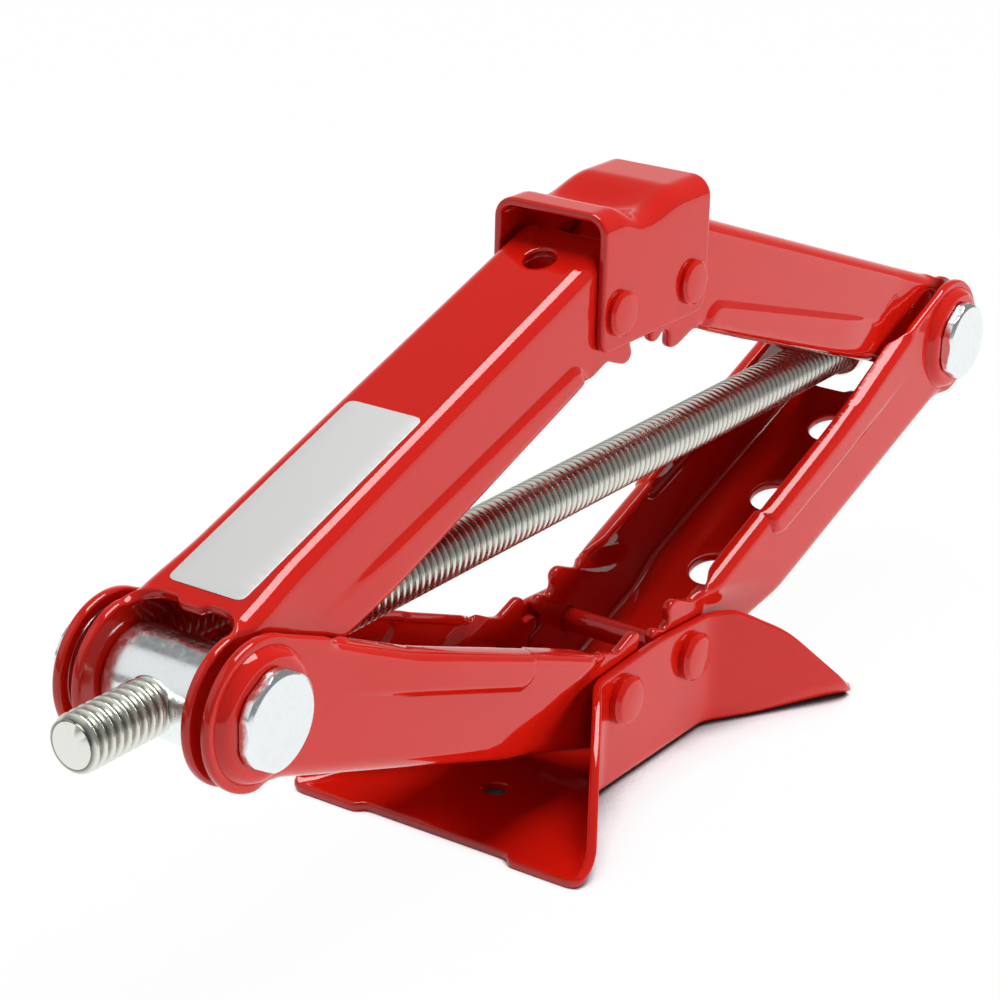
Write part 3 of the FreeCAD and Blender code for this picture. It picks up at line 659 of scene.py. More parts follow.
def press(arm, s, k):
    """How far a wall point is pressed outwards: by the strip, by the boss, and where the lower arm's
    wall narrows later than its web does, the later the further down the wall."""
    strip = smooth(-arm.soft / 2, arm.soft / 2, into_strip(arm, s, k))
    boss = arm.boss * (1 - smooth(BOSS_EDGE - BOSS_SOFT, BOSS_EDGE + BOSS_SOFT, np.hypot(s, k)))
    deep = np.clip((arm.web - k) / (arm.web + WALL_FOOT), 0, 1)
    begin = CREASE[0] + CREASE_LATE[0] * deep ** CREASE_CURVE
    late = smooth(begin, CREASE[1] + CREASE_LATE[1] * deep, s)
    return STRIP_RISE * smooth(*arm.fade, s) * strip + boss + arm.narrowing * (smooth(*CREASE, s) - late)


def fold_arm(arm):
    """The fold of an arm, from blank (s, q) to (s, y, k): a quarter bend at the web's side, flattened
    out near the trunnion, then what is pressed outwards, and the lip, which eases in and out."""
    def fold(flat):
        s, q = flat.T
        flat_half = arm.half(s) - MID - bend_mid
        past = np.abs(q) - flat_half
        out, down = bent(past, bend_mid)
        opened = (1 - smooth(*arm.opens, s)) * smooth(*OPENED_FROM, past)
        top = arm.web - MID
        y = flat_half + (1 - opened) * out + opened * bend_mid
        k = (1 - opened) * (top - down) + opened * (top - bend_mid + bend_mid * QUARTER - past)
        below = np.maximum(LIP_BEND - arm.free(s) - k, 0)
        lip_out, lip_down = bent(below, lip_mid, LIP_TURN)
        begun = smooth(arm.lip - LIP_LEAD, arm.lip + LIP_EASE, s)
        rolled = begun * (1 - smooth(LIP_END - LIP_EASE, LIP_END + LIP_LEAD, s))
        on_wall = np.maximum(opened, smooth(0, bend_mid * QUARTER, past))
        y = y + on_wall * press(arm, s, k) - rolled * lip_down
        k = k + rolled * (below - lip_out)
        return np.column_stack([s, np.sign(q) * y, k])

    return fold


def placed(points, arm, front):
    """Turns an arm's own (s, y, k) into the jack's X, Y and Z: s runs up or down the slope from the
    trunnion, k at right angles to it towards the web, and a rear arm is the mirror image in X."""
    up = 1 if arm is UPPER else -1
    along = np.array([math.cos(SLOPE), 0, up * math.sin(SLOPE)])
    webwards = np.array([-math.sin(SLOPE), 0, up * math.cos(SLOPE)])
    turned = points @ np.array([along, (0, 1, 0), webwards]) + trunnion_pivot
    return turned * (1 if front else -1, 1, 1)


print(f"walls bend on a radius of {BEND} mm, lips on {LIP_BEND} mm")

# %% [markdown]
# ### The net of an arm
# Rows of points follow the bend, the strip's ledge and the lip, and rings follow the strip's corners and
# the boss, so that each soft step in the sheet is crossed by rows that run along it.

# %% Net of an arm
NET, FINE_NET, NET_MARGIN, PAST_PIVOT = 1.8, 0.9, 0.4, 24.0
LIP_BEGINS, LIP_ENDS = (-2, 10), (-10, 3)
WEB_ROWS, BEND_ROWS, WALL_ROWS, LIP_ROWS, FLAT_ROWS = 19, 9, 12, 8, (0.8, 14, 1.1)
STEP_ROWS, LEDGE_SPREAD, CORNER_STEP, STRIP_DEPTH = 9, 0.75, 8, 16
BOSS_POINTS, BOSS_SPREAD = 120, 1.6


def arm_net(arm):
    """Points that fill the blank: rows over the web, rows down each wall, and the rings."""
    start, end = arm.strip
    beside = np.linspace(-LEDGE_SPREAD, LEDGE_SPREAD, STEP_ROWS) * arm.soft
    begins, ends = (np.arange(at + first, at + last, FINE_NET)
                    for at, (first, last) in ((arm.lip, LIP_BEGINS), (LIP_END, LIP_ENDS)))
    stations = np.concatenate([np.arange(-LOBE, ARM + PAST_PIVOT, NET), begins, ends])
    stations = np.unique(np.round(stations, 1))
    flat_half = arm.half(stations) - MID - bend_mid
    bend_end = flat_half + bend_mid * QUARTER
    ledge = on_blank(arm, stations, arm.ledge(stations))
    lip = on_blank(arm, stations, LIP_BEND - arm.free(stations))
    share = np.linspace(0, 1, WALL_ROWS)[1:-1, None]
    lip_end = lip + lip_mid * LIP_TURN
    web = np.linspace(-1, 1, WEB_ROWS)[:, None] * (flat_half - NET_MARGIN)
    wall = np.vstack([
        flat_half + np.linspace(0, 1, BEND_ROWS)[:, None] * bend_mid * QUARTER,
        bend_end + share * (ledge - arm.soft - bend_end),
        ledge + beside[:, None],
        ledge + arm.soft + share[::2] * (lip - ledge - arm.soft),
        lip + np.linspace(0, 1, LIP_ROWS)[:, None] * (lip_end - lip),
        lip_end + np.arange(*FLAT_ROWS)[:, None]])
    s, q = pairs(stations, wall).T
    k = on_blank(arm, s, 0) - q
    at_corner = (s < start + STRIP_CORNER) | (s > end - STRIP_CORNER)
    cornered = at_corner & (np.abs(into_strip(arm, s, k)) < arm.soft)
    ringed = np.abs(np.hypot(s, k) - BOSS_EDGE) < (2 * BOSS_SOFT if arm.boss else 0)
    spots = [pairs(s, k)[~(cornered | ringed)]]
    turn = np.radians(np.arange(0, 91, CORNER_STEP))
    size = (STRIP_CORNER + beside)[:, None]
    for centre, way in ((start + STRIP_CORNER, -1), (end - STRIP_CORNER, 1)):
        foot = arm.ledge(centre) - STRIP_CORNER
        spots.append(pairs(centre + way * size * np.cos(turn), foot + size * np.sin(turn)))
        spots.append(pairs(centre + way * size, foot - np.arange(FINE_NET, STRIP_DEPTH, FINE_NET)))
    if arm.boss:
        turn = np.linspace(0, WHOLE, BOSS_POINTS, endpoint=False)
        size = BOSS_EDGE + np.linspace(-BOSS_SPREAD, BOSS_SPREAD, STEP_ROWS)[:, None] * BOSS_SOFT
        spots.append(pairs(size * np.cos(turn), size * np.sin(turn)))
    s, k = np.vstack(spots).T
    q = on_blank(arm, s, k)
    return np.vstack([pairs(stations, web), pairs(s, q), pairs(s, -q)])


print("an arm's net is", NET, "mm wide, and", FINE_NET, "mm where the lip begins and ends")

# %% Make the four arms
BOLT_HOLE, PIN_HOLE = 7.05, 4.05
for arm in (UPPER, LOWER):
    for where in ("front", "rear"):
        front = where == "front"
        walls = [(0.0, BOLT_HOLE), (ARM, PIN_HOLE)]
        holes = [circle(s, side * on_blank(arm, s, 0), r) for s, r in walls for side in (-1, 1)]
        holes += [circle(s, 0, r) for s, r in arm.holes]
        points, faces = pressed(arm_outline(arm, front), holes, arm_net(arm), fold_arm(arm), SHEET)
        name = f"{arm.name}_arm_{where}"
        put("enamelled_" + name, placed(points, arm, front), faces, name, ENAMEL)

# %% [markdown]
# ### The bare foil plate
# A thin plate with rounded corners lies on the web of the front upper arm. It is a pressed sheet with
# the flattest of folds: straight up from the web's face.

# %% Foil plate
FOIL_THICK = 0.25
FOIL_START, FOIL_END, FOIL_HALF = 16.5, 98.8, 12.6
FOIL_CORNER, FOIL_RIM, FOIL_NET, FOIL_ROWS = 2.0, 0.12, 4.0, 3


def lay_foil(flat):
    return np.column_stack([flat, np.full(len(flat), UPPER.web + FOIL_THICK / 2)])


plate = even(rounded(oblong(FOIL_START, -FOIL_HALF, FOIL_END, FOIL_HALF, FOIL_CORNER)))
rows = FOIL_NET * np.arange(-FOIL_ROWS, FOIL_ROWS + 1)[:, None]
grid = pairs(np.arange(FOIL_START, FOIL_END, FOIL_NET), rows)
points, faces = pressed(plate, [], grid, lay_foil, FOIL_THICK, rim=FOIL_RIM)
put("foil_plate", placed(points, UPPER, True), faces, "upper_arm_front", FOIL, replaces=False)

# %% [markdown]
# ## The foot
# The foot is one pressing: a floor with two upright walls, narrow at the middle where the arms pivot and
# flared like a bow tie at its ends. In plan the walls follow a straight waist, an arc and a straight
# flare. Their height falls from a low arch over the pivots to nothing at the tips. The bend between
# floor and wall grows softer towards the tips.

# %% Plan and fold of the foot
FOOT_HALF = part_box("base_foot")[1].x / MM
FOOT_OUT = 26.5
FLARE = math.radians(32)
WAIST_END, WAIST_ROUND = SPACING / 2 + 8.3, 14.0
SOFTER, SOFTER_FROM = 5.0, (45.0, 80.0)


def foot_half(x):
    """Half width of the plan: straight to the waist's end, then R - sqrt(R^2 - a^2), then a straight
    flare. Half a sheet along the wall's normal is taken off, to give the middle of the sheet."""
    a = np.maximum(np.abs(x) - WAIST_END, 0)
    turn = np.minimum(a, WAIST_ROUND * math.sin(FLARE))
    arc = WAIST_ROUND - np.sqrt(WAIST_ROUND ** 2 - turn ** 2)
    slope = turn / np.sqrt(WAIST_ROUND ** 2 - turn ** 2)
    return FOOT_OUT + arc + (a - turn) * math.tan(FLARE) - MID * np.sqrt(1 + slope ** 2)


def foot_bend(x):
    """Radius of the bend's middle: as in the arms, and softer towards the tips."""
    return bend_mid + SOFTER * smooth(*SOFTER_FROM, np.abs(x))


def fold_foot(flat):
    """Floor level up to the bend, then a quarter bend whose radius depends on x, then straight up."""
    x, q = flat.T
    flat_half = foot_half(x) - foot_bend(x)
    out, rise = bent(np.abs(q) - flat_half, foot_bend(x))
    return np.column_stack([x, np.sign(q) * (flat_half + out), MID + rise])


def foot_blank(x, z):
    """Where a wall point at height z lies on the blank."""
    bend = foot_bend(x)
    return foot_half(x) - bend + bend * QUARTER + (z - MID - bend)


print(f"foot {2 * FOOT_HALF:.0f} mm long, {2 * (foot_half(FOOT_HALF) + MID):.0f} mm wide at its tips")

# %% Make the foot
APEX, SHOULDER_X, SHOULDER_Z = foot_pivot[2] + 12.0, SPACING / 2 + 21.3, foot_pivot[2] + 9.5
FOOT_HOLE, FOOT_HOLE_X = 4.2, FOOT_HALF - 35.0
RECESS, RECESS_HALF, RECESS_SOFT, RECESS_STEP = 3.0, 27.0, 1.5, 0.5
TIP, TIP_FLAT, TIP_CUT = 4.0, 8.0, (0.6, 4.5)
KNEE, KNEE_ROUND, SHOULDER_ROUND, APEX_ROUND = (58.0, 29.0), 40.0, 9.0, 90.0
PRESS_STEP, FOOT_SOFT, RIDGE_POINTS = 0.6, 6, 240
FOOT_STATIONS, FLOOR_ROWS, FOOT_BEND_ROWS, FOOT_WALL_ROWS = 96, 31, 11, (1, 40, 2.0)
tip_x = FOOT_HALF - TIP
side = [(tip_x, TIP, 0), (*KNEE, KNEE_ROUND), (SHOULDER_X, SHOULDER_Z, SHOULDER_ROUND)]
ridge = rounded(side + [(0, APEX, APEX_ROUND)] + [(-x, z, radius) for x, z, radius in side[::-1]])
ridge = ridge[np.argsort(-ridge[:, 0])]
ridge_x = np.linspace(tip_x, -tip_x, RIDGE_POINTS)
ridge_z = np.interp(-ridge_x, -ridge[:, 0], ridge[:, 1])
wall_edge = pairs(ridge_x, foot_blank(ridge_x, ridge_z))
recess_x, end_half = FOOT_HALF - RECESS, foot_half(FOOT_HALF)
end_edge = np.array([(recess_x, 0), (recess_x, RECESS_HALF - RECESS_SOFT),
                     (recess_x + RECESS_STEP, RECESS_HALF), (FOOT_HALF, RECESS_HALF + RECESS_STEP),
                     (FOOT_HALF, end_half - TIP_FLAT), (FOOT_HALF - TIP_CUT[0], end_half - TIP_CUT[1])])
half = np.vstack([end_edge, wall_edge, (end_edge * [-1, 1])[::-1]])
outline = softened(even(np.vstack([half, half[::-1] * [1, -1]]), PRESS_STEP), FOOT_SOFT)
holes = [circle(side * FOOT_HOLE_X, 0, FOOT_HOLE) for side in (-1, 1)]
holes += [circle(x, side * foot_blank(x, foot_pivot[2]), PIN_HOLE)
          for x in (foot_pivot[0], -foot_pivot[0]) for side in (-1, 1)]
stations = np.linspace(-FOOT_HALF, FOOT_HALF, FOOT_STATIONS)
start = foot_half(stations) - foot_bend(stations)
bend_length = foot_bend(stations) * QUARTER
floor_rows = np.linspace(-1, 1, FLOOR_ROWS)[:, None] * (start - NET_MARGIN)
bend_rows = start + np.linspace(0, 1, FOOT_BEND_ROWS)[:, None] * bend_length
wall_rows = start + bend_length + np.arange(*FOOT_WALL_ROWS)[:, None]
rows = np.vstack([floor_rows, bend_rows, wall_rows, -bend_rows, -wall_rows])
points, faces = pressed(outline, holes, pairs(stations, rows), fold_foot, SHEET)
put("enamelled_foot", points, faces, "base_foot", ENAMEL)

# %% [markdown]
# ## The saddle
# The saddle is a smaller channel, upside down, with a dish pressed across its top to hold the sill of a
# car. The dish is deepest in the middle and shallower where it runs out over the rounded sides.

# %% Saddle
SADDLE_SHEET, SADDLE_OUTSIDE, SADDLE_CORNER, SADDLE_SOFT = 2.5, 6.5, 4.0, 2
SADDLE_BEND = SADDLE_OUTSIDE - SADDLE_SHEET / 2
saddle_low, saddle_high = (np.array(corner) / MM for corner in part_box("saddle"))
SADDLE_HALF = saddle_high[1] - SADDLE_SHEET / 2
DISH_FRONT, DISH_REAR, DISH_DEPTH, SIDE_LOSS = (-21.0, -9.0), (-6.0, 13.5), 5.6, 0.5
WALL_SHARE = 0.6


def dish(x, y):
    """Depth of the dish: a smooth valley across X, steeper at the front. Towards the sides it loses
    depth with the square of the distance from the middle."""
    valley = smooth(*DISH_FRONT, x) * (1 - smooth(*DISH_REAR, x))
    return DISH_DEPTH * valley * (1 - SIDE_LOSS * (y / SADDLE_HALF) ** 2)


def fold_saddle(flat):
    """A quarter bend at each side of the top. The dish lowers top and bend, and the wall takes up what
    the dish lowered, so that its lower edge stays straight."""
    x, q = flat.T
    flat_half = SADDLE_HALF - SADDLE_BEND
    out, down = bent(np.abs(q) - flat_half, SADDLE_BEND)
    y = flat_half + out
    height = saddle_high[2] - SADDLE_SHEET / 2
    wall = saddle_high[2] - saddle_low[2] - SADDLE_BEND
    kept = 1 - smooth(SADDLE_BEND, WALL_SHARE * wall, down)
    sunk = dish(x, np.minimum(y, SADDLE_HALF)) * kept
    return np.column_stack([x, np.sign(q) * y, height - down - sunk])


def saddle_blank(z):
    """Where a wall point at height z lies on the blank."""
    bend_end = saddle_high[2] - SADDLE_SHEET / 2 - SADDLE_BEND
    return SADDLE_HALF - SADDLE_BEND + SADDLE_BEND * QUARTER + bend_end - z


edge = saddle_blank(saddle_low[2])
long = saddle_high[0]
blank = rounded(oblong(-long, -edge, long, edge, SADDLE_CORNER))
outline = softened(even(blank, PRESS_STEP), SADDLE_SOFT)
holes = [circle(x, side * saddle_blank(saddle_pivot[2]), PIN_HOLE)
         for x in (saddle_pivot[0], -saddle_pivot[0]) for side in (-1, 1)]
grid = pairs(np.arange(-long, long, FINE_NET), np.arange(-edge, edge, FINE_NET)[:, None])
points, faces = pressed(outline, holes, grid, fold_saddle, SADDLE_SHEET)
put("enamelled_saddle", points, faces, "saddle", ENAMEL)

# %% [markdown]
# ## Turned pieces
# Pins, bolts, spacers and trunnions come from a lathe, so each is a profile carried round an axis. The
# profile is a rounded outline in (distance along the axis, radius). A solid closes on the axis with a
# point at each end, and a ring closes on itself.

# %% Lathe helpers
LATHE_STEPS = 96
PROFILE_STEP, FINE_STEP, BORE_SOFT = 0.6, 0.4, 0.3
SIXTH = WHOLE / 6
ALONG_X, ALONG_Y = (1, 0, 0), (0, 1, 0)


def swept(profile, centre, axis, flats=None):
    """Points on circles: centre + along * axis + radius (cos t * u + sin t * v). With flats the radius
    is no more than f / cos(t), t counted from the nearest flat's middle."""
    turn = np.linspace(0, WHOLE, LATHE_STEPS, endpoint=False)
    radius = np.repeat(profile[:, 1:], LATHE_STEPS, 1)
    if flats:
        radius = np.minimum(radius, flats / np.cos(turn % SIXTH - SIXTH / 2)[None])
    axis = np.array(axis, float)
    u = np.array((0, 0, 1.0))
    v = np.cross(axis, u)
    ring = np.cos(turn)[:, None] * u + np.sin(turn)[:, None] * v
    return centre + profile[:, :1, None] * axis + radius[..., None] * ring[None]


def grid_quads(rows, columns, ring):
    """Quads of a grid that closes round its columns, and over its rows too if it is a ring."""
    index = np.arange(rows * columns).reshape(rows, columns)
    after = np.roll(index, -1, 0) if ring else index[1:]
    index = index if ring else index[:-1]
    return np.stack([index, np.roll(index, -1, 1), np.roll(after, -1, 1), after], 2).reshape(-1, 4)


def turned_solid(profile, centre, axis, flats=None):
    """Profile from the axis out and back to the axis: its first and last points are the two poles."""
    body = swept(profile[1:-1], centre, axis, flats)
    rows, columns = body.shape[:2]
    poles = centre + profile[[0, -1], :1] * np.array(axis, float)
    points = np.vstack([body.reshape(-1, 3), poles])
    first = np.arange(columns)
    last = first + (rows - 1) * columns
    caps = [np.column_stack([np.full(columns, rows * columns), np.roll(first, -1), first]),
            np.column_stack([np.full(columns, rows * columns + 1), last, np.roll(last, -1)])]
    return points, [grid_quads(rows, columns, False), np.vstack(caps)]


def turned_ring(low, high, bore, outer, soft, centre, axis):
    """A ring between two stations on the axis, with a rounded rim."""
    corners = [(low, bore, BORE_SOFT), (high, bore, BORE_SOFT), (high, outer, soft), (low, outer, soft)]
    body = swept(even(rounded(corners), FINE_STEP), centre, axis)
    return body.reshape(-1, 3), [grid_quads(*body.shape[:2], True)]


print("lathe with", LATHE_STEPS, "steps")

# %% [markdown]
# ### Riveted pivot pins
# The pins of foot and saddle are rivets: a round bar with a low domed head closed on each side. They
# were painted with the jack.

# %% Pins
PIN_RADIUS, HEAD_POINTS, AXIS_GAP = 4.0, 24, 0.001
NECK_CUT, NECK = 0.4, 0.6
DOME_DROP, RIM_DROP, RIM_FROM, RIM_CURVE = 0.14, 0.3, 0.8, 1.5


def rivet(half, grip, head, rise):
    """Profile of a rivet along its axis: a dome that falls from full height at the axis to its rounded
    rim, the neck, and the same again."""
    out = np.linspace(AXIS_GAP, head, HEAD_POINTS)
    rim = smooth(RIM_FROM, 1.0, out / head) ** RIM_CURVE
    crown = half - rise * DOME_DROP * (out / head) ** 2 - rise * RIM_DROP * rim
    shank = [(grip, head), (grip - NECK_CUT, head - NECK_CUT), (grip - NECK, PIN_RADIUS)]
    side = np.vstack([pairs(crown, out), shank])
    return np.vstack([(half, 0), side, (side * [-1, 1])[::-1], (-half, 0)])


for where, x in (("front", foot_pivot[0]), ("rear", -foot_pivot[0])):
    for part, height, head, rise in (("base", foot_pivot[2], 8.0, 4.0),
                                     ("saddle", saddle_pivot[2], 7.0, 2.4)):
        name = f"{part}_pin_{where}"
        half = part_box(name)[1].y / MM
        profile = rivet(half, half - rise, head, rise)
        points, faces = turned_solid(profile, np.array((x, 0, height)), ALONG_Y)
        put("painted_" + name, points, faces, name, ENAMEL, sharp=50)

# %% [markdown]
# ### Trunnions, bolts and spacers
# The trunnions are plated cross bars. A shoulder bolt in each end carries both arms, with a spacer ring
# between their walls. The bolt heads are nearly round: six shallow flats cut a little off the circle.

# %% Trunnions
TRUNNION_RADIUS, TRUNNION_HALF, TRUNNION_EDGE, TRUNNION_SOFT = 14.0, 16.5, 1.2, 0.4
centres = {"front": trunnion_pivot, "rear": trunnion_pivot * (-1, 1, 1)}
side = [(TRUNNION_HALF - TRUNNION_EDGE, TRUNNION_RADIUS, TRUNNION_SOFT),
        (TRUNNION_HALF, TRUNNION_RADIUS - TRUNNION_EDGE, TRUNNION_SOFT), (TRUNNION_HALF, 0.0, 0)]
bar = even(rounded([(-y, r, soft) for y, r, soft in side[::-1]] + side), PROFILE_STEP, closed=False)
for name, where in (("front_trunnion_nut", "front"), ("rear_trunnion", "rear")):
    points, faces = turned_solid(bar, centres[where], ALONG_Y)
    put("plated_" + name, points, faces, name, ZINC)

# %% Bolts and spacers
HEAD_RADIUS, HEAD_FLAT, HEAD_HEIGHT, HEAD_CHAMFER, FACE_EDGE = 13.9, 13.1, 3.7, 1.0, 1.6
UNDER_SOFT, CHAMFER_SOFT, FACE_SOFT = 0.4, 0.5, 1.2
SHOULDER, BOLT_RADIUS, RING_WALL, RING_SOFT = 7.0, 5.0, 4.5, 0.5
for where in ("front", "rear"):
    for side_name, side in (("near", -1), ("far", 1)):
        axis = (0, side, 0)
        name = f"pivot_bolt_{where}_{side_name}"
        tip, face = sorted(abs(corner.y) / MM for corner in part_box(name))
        seat = face - HEAD_HEIGHT
        corners = [(tip, 0.0, 0), (tip, BOLT_RADIUS, 0), (TRUNNION_HALF, BOLT_RADIUS, 0),
                   (TRUNNION_HALF, SHOULDER, 0), (seat, SHOULDER, 0), (seat, HEAD_RADIUS, UNDER_SOFT),
                   (face - HEAD_CHAMFER, HEAD_RADIUS, CHAMFER_SOFT),
                   (face, HEAD_RADIUS - FACE_EDGE, FACE_SOFT), (face, 0.0, 0)]
        profile = even(rounded(corners), FINE_STEP, closed=False)
        points, faces = turned_solid(profile, centres[where], axis, HEAD_FLAT)
        put("plated_" + name, points, faces, name, ZINC, sharp=30)
        name = f"spacer_{where}_{side_name}"
        low, high = sorted(abs(corner.y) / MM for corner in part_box(name))
        outer = SHOULDER + RING_WALL
        points, faces = turned_ring(low, high, SHOULDER, outer, RING_SOFT, centres[where], axis)
        put("plated_" + name, points, faces, name, ZINC)

# %% [markdown]
# ## The lead screw
# The screw is 16 mm across with a 3 mm pitch and a right-hand thread. A profile of one pitch is carried
# along the helix: each turn of the axis moves it on by the pitch. Points past either end are drawn back
# onto the end's circle, and triangles that lose their area there are dropped.

# %% Thread
PITCH, SHANK = 3.0, 7.3
TURN_STEPS, PROFILE_STEPS, SPARE_TURNS, WELD_DIGITS = 60, 10, 3, 3
FLATTENED, RUNOUT, LAP, END_ROUND = 1.2, 1.2 * PITCH, 1.0, 1.6
screw_low, screw_high = (np.array(corner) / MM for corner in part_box("lead_screw"))
collar_low, collar_high = (np.array(corner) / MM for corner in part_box("stop_collar"))
thread_start, thread_end = screw_low[0], collar_low[0] + LAP


def thread_radius_at(x, share):
    """Radius at a share of the pitch: a cosine between crest and root, flattened at both, no more than
    the quarter ellipse that rounds the screw's end, and faded into the plain shank."""
    wave = np.clip(FLATTENED * np.cos(WHOLE * share), -1, 1)
    radius = (CREST + ROOT) / 2 + (CREST - ROOT) / 2 * wave
    begun = np.clip((x - thread_start) / END_ROUND, 0, 1)
    nose = END_RADIUS + (CREST - END_RADIUS) * np.sqrt(1 - (1 - begun) ** 2)
    runout = smooth(thread_end - RUNOUT, thread_end, x)
    return np.minimum(radius, nose) * (1 - runout) + SHANK * runout


turns = int((thread_end - thread_start) / PITCH) + SPARE_TURNS
step = np.arange(turns * TURN_STEPS)
share = np.arange(PROFILE_STEPS) / PROFILE_STEPS
x = thread_start - PITCH + PITCH * (step[:, None] / TURN_STEPS + share[None])
x = np.clip(x, thread_start, thread_end)
radius = thread_radius_at(x, share[None])
angle = -WHOLE * step[:, None] / TURN_STEPS
surface = np.stack([x, radius * np.cos(angle), axis_z + radius * np.sin(angle)], 2)
index = np.arange(step.size * PROFILE_STEPS).reshape(step.size, PROFILE_STEPS)
wide = np.hstack([index[:-TURN_STEPS], index[TURN_STEPS:, :1]])
quads = np.stack([wide[:-1, :-1], wide[1:, :-1], wide[1:, 1:], wide[:-1, 1:]], 2).reshape(-1, 4)
triangles = [quads[:, [0, 1, 2]], quads[:, [0, 2, 3]]]
points = surface.reshape(-1, 3)
first_turn = angle[:TURN_STEPS, 0]
ring = np.column_stack([np.zeros(TURN_STEPS), np.cos(first_turn), np.sin(first_turn)])
for end_x, size in ((thread_start, END_RADIUS), (thread_end, SHANK)):
    end = np.array((end_x, 0, axis_z))
    around = len(points) + np.arange(TURN_STEPS)
    middle = np.full(TURN_STEPS, len(points) + TURN_STEPS)
    fan = np.column_stack([middle, np.roll(around, -1), around])
    triangles.append(fan if end_x == thread_start else fan[:, ::-1])
    points = np.vstack([points, end + size * ring, end])
_, first, welded = np.unique(np.round(points, WELD_DIGITS), axis=0,
                             return_index=True, return_inverse=True)
triangles = welded.ravel()[np.vstack(triangles)]
a, b, c = triangles.T
triangles = triangles[(a != b) & (b != c) & (c != a)]
put("rolled_thread", points[first], [triangles], "lead_screw", SCREW_PAINTED_SHADE, sharp=70)

# %% [markdown]
# ### Shank, collar and drive end
# Past the thread the screw is plain. A collar sits where the thread ends, and behind the rear trunnion a
# thrust washer and a pinned hexagon take the crank. The small parts at the back keep their CAD solids.

# %% Shank and small parts
JOURNAL, JOURNAL_FROM, COLLAR, COLLAR_SOFT = 6.0, 12.3, 9.6, 0.8
on_axis = np.array((0, 0, axis_z))
step_x = centres["rear"][0] - JOURNAL_FROM
corners = [(collar_low[0], 0.0, 0), (collar_low[0], SHANK, 0.2), (step_x, SHANK, 0.3),
           (step_x, JOURNAL, 0.2), (screw_high[0], JOURNAL, 0.8), (screw_high[0], 0.0, 0)]
points, faces = turned_solid(even(rounded(corners), PROFILE_STEP, closed=False), on_axis, ALONG_X)
put("plain_shank", points, faces, "lead_screw", SCREW_PAINTED_SHADE, replaces=False, sharp=40)
low, high = collar_low[0], collar_high[0]
points, faces = turned_ring(low, high, SHANK, COLLAR, COLLAR_SOFT, on_axis, ALONG_X)
put("dark_collar", points, faces, "stop_collar", SCREW_PAINTED_SHADE)
for name in ("thrust_washer", "drive_head", "drive_pin"):
    solid = frame["nodes"][name]
    solid.data.materials.clear()
    solid.data.materials.append(ZINC)

# %% [markdown]
# ## Floor, light and camera
# The photograph is a studio shot on white. The floor is white paper: it keeps a soft, faintly red shade
# close under the jack and throws light up at its sides. The sides mirror that paper, which washes the
# enamel out a little. Faces that look up mirror a dim room and stay deep red, except where they meet the
# white sweep of paper behind the jack. Two low lamps light the sides and show in no reflection.

# %% Floor
FLOOR_SIZE = 12.0
NEAR_SHADOW = 0.035
PAPER, SEEN = (0.9, 0.9, 0.9, 1), 0.98


def white_floor(tree):
    """White paper. Rays that look, straight or by a mirror image, see it lifted to white, except close
    under the jack: there the open sky that a point sees shrinks, and the shade turns red and dark."""
    path = node(tree, "LightPath")
    looking = maths(tree, "MAXIMUM", (path, "Is Camera Ray"), (path, "Is Glossy Ray"))
    looking = maths(tree, "MAXIMUM", (looking, 0), (path, "Is Transmission Ray"))
    sky = node(tree, "AmbientOcclusion", samples=8, Distance=NEAR_SHADOW)
    shade = ramp(tree, ("Fac", sky, "AO"), (0.36, "#1c1010"), (0.48, "#fbe6ea"), (0.68, "#ffffff"))
    paper = node(tree, "BsdfDiffuse", Color=PAPER)
    glow = node(tree, "Emission", [("Color", shade, "Color")])
    share = node(tree, "Math", [(0, looking, 0)], [(1, SEEN)], operation="MULTIPLY")
    return node(tree, "MixShader", [(0, share, 0), (1, paper, 0), (2, glow, 0)])


bpy.ops.mesh.primitive_plane_add(size=FLOOR_SIZE, location=(0, 0, 0))
floor = bpy.context.object
floor.name = "floor"
floor.data.materials.append(finish("white_studio_paper", white_floor))

# %% World
SWEEP_WAY, SWEEP_WIDE, SWEEP_HIGH, SWEEP = (0.6, 0.8, 0.0), (0.45, 0.85), (0.15, 0.55), 0.8
ROOM, FILL = 0.25, 0.35


def studio_world(tree):
    """Straight rays see white. Mirrored rays see a studio: a white paper sweep that rises behind the
    jack, and the dim room above it and at its sides. The light it sheds is a share, FILL, of that."""
    path = node(tree, "LightPath")
    place = node(tree, "TexCoord")
    height = node(tree, "SeparateXYZ", [("Vector", place, "Generated")])
    behind = node(tree, "VectorMath", [(0, place, "Generated")], [(1, SWEEP_WAY)],
                  operation="DOT_PRODUCT")
    wide = node(tree, "MapRange", [("Value", behind, "Value")],
                From_Min=SWEEP_WIDE[0], From_Max=SWEEP_WIDE[1])
    low = node(tree, "MapRange", [("Value", height, "Z")],
               From_Min=SWEEP_HIGH[0], From_Max=SWEEP_HIGH[1], To_Min=1.0, To_Max=0.0)
    sweep = maths(tree, "MULTIPLY", (wide, 0), (low, 0))
    mirrored = node(tree, "MapRange", [("Value", path, "Is Glossy Ray")], To_Min=FILL, To_Max=1.0)
    seen = node(tree, "MapRange", [("Value", sweep, 0)], To_Min=ROOM, To_Max=SWEEP)
    level = maths(tree, "MULTIPLY", (mirrored, 0), (seen, 0))
    studio = node(tree, "Background", [("Strength", level, 0)], Color=(1, 1, 1, 1))
    white = node(tree, "Background", Color=(1, 1, 1, 1), Strength=1.0)
    straight = maths(tree, "MAXIMUM", (path, "Is Camera Ray"), (path, "Is Transmission Ray"))
    return node(tree, "MixShader", [(0, straight, 0), (1, studio, 0), (2, white, 0)])


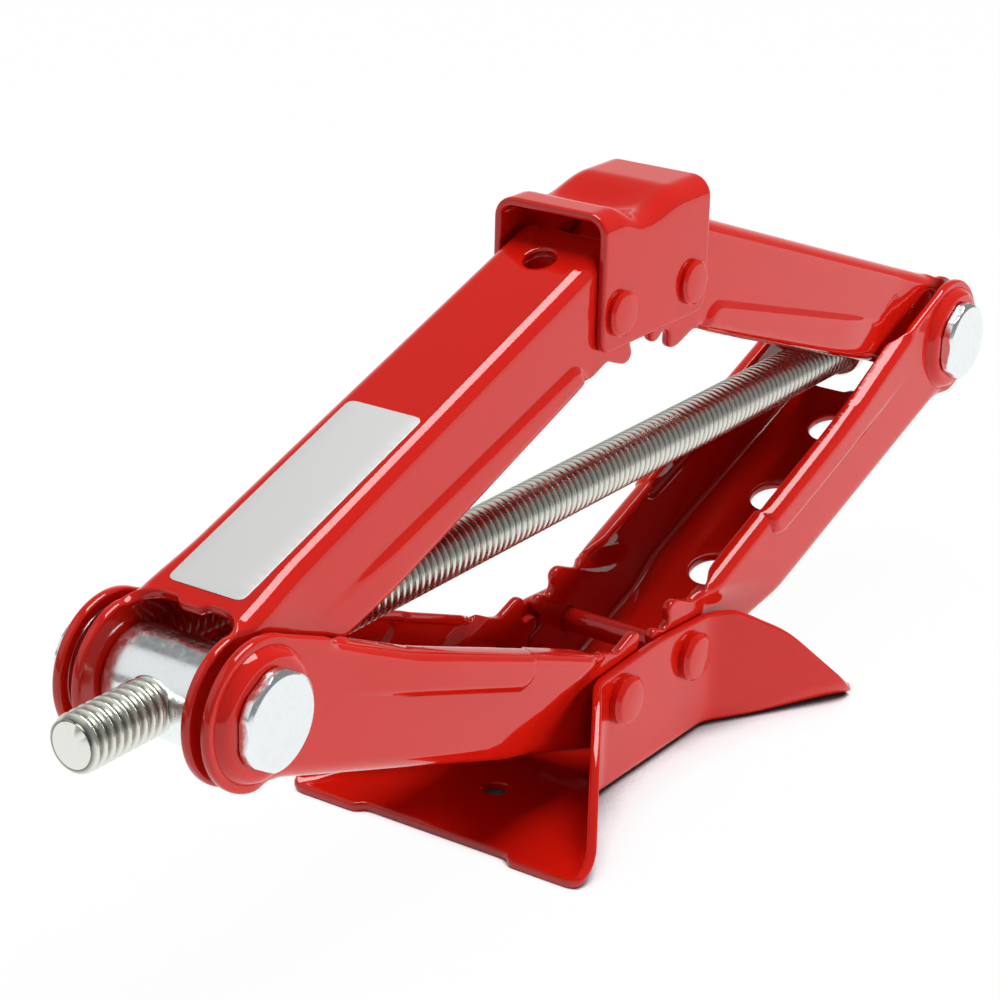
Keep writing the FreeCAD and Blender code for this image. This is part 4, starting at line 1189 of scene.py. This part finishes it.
world = bpy.data.worlds.new("studio")
world.use_nodes = True
world.node_tree.nodes.clear()
node(world.node_tree, "OutputWorld", [("Surface", studio_world(world.node_tree), 0)])
bpy.context.scene.world = world
print("made the world", world.name)

# %% Lamps
AIM = (0, 0, 0.08)


def lamp(name, place, wide, high, power, mirrored=True):
    """A soft box that looks at the jack. One that isn't mirrored shows in no reflection."""
    data = bpy.data.lights.new(name, "AREA")
    data.shape = "RECTANGLE"
    data.size, data.size_y = wide, high
    data.energy = power
    box = bpy.data.objects.new(name, data)
    box.location = place
    box.rotation_euler = (Vector(AIM) - Vector(place)).to_track_quat("-Z", "Y").to_euler()
    box.visible_glossy = mirrored
    bpy.context.scene.collection.objects.link(box)


lamp("overhead", (0.35, -0.05, 2.15), 1.3, 1.3, 46)
lamp("front", (0.5, -2.3, 0.16), 3.0, 0.3, 31, mirrored=False)
lamp("side", (-1.3, 1.1, 1.3), 1.8, 1.8, 6)
lamp("rear", (0.3, 2.3, 0.16), 3.0, 0.3, 20, mirrored=False)
scene = bpy.context.scene
scene.view_settings.view_transform = "Standard"

# %% [markdown]
# ### Camera
# The camera stands to the front left and looks a little down on the jack, as in the photograph. Its
# place was fitted to the picture: the direction and distance from a point above the foot, a small roll,
# a small step sideways, and the focal length.

# %% Camera
AZIMUTH, ELEVATION, ROLL = math.radians(-55.925), math.radians(21.502), math.radians(1.511)
DISTANCE, STEP_RIGHT, STEP_UP = 870.703, -29.335, -17.881
AIM_HEIGHT = 102.1
SENSOR, FOCAL_SHARE = 36, 2.820153
back = np.array([math.sin(AZIMUTH) * math.cos(ELEVATION), -math.cos(AZIMUTH) * math.cos(ELEVATION),
                 math.sin(ELEVATION)])
level = np.array([math.cos(AZIMUTH), math.sin(AZIMUTH), 0])
upright = np.cross(back, level)
right = math.cos(ROLL) * level + math.sin(ROLL) * upright
up = -math.sin(ROLL) * level + math.cos(ROLL) * upright
eye = np.array([0, 0, AIM_HEIGHT]) + back * DISTANCE + right * STEP_RIGHT + up * STEP_UP
lens = bpy.data.cameras.new("camera")
lens.sensor_width = SENSOR
lens.lens = lens.sensor_width * FOCAL_SHARE
camera = bpy.data.objects.new("camera", lens)
rows = [(*(axis[i] for axis in (right, up, back)), eye[i] * MM) for i in range(3)]
camera.matrix_world = Matrix(rows + [(0, 0, 0, 1)])
scene.collection.objects.link(camera)
scene.camera = camera
print(f"camera at {np.round(eye)} mm, {lens.lens:.1f} mm lens")
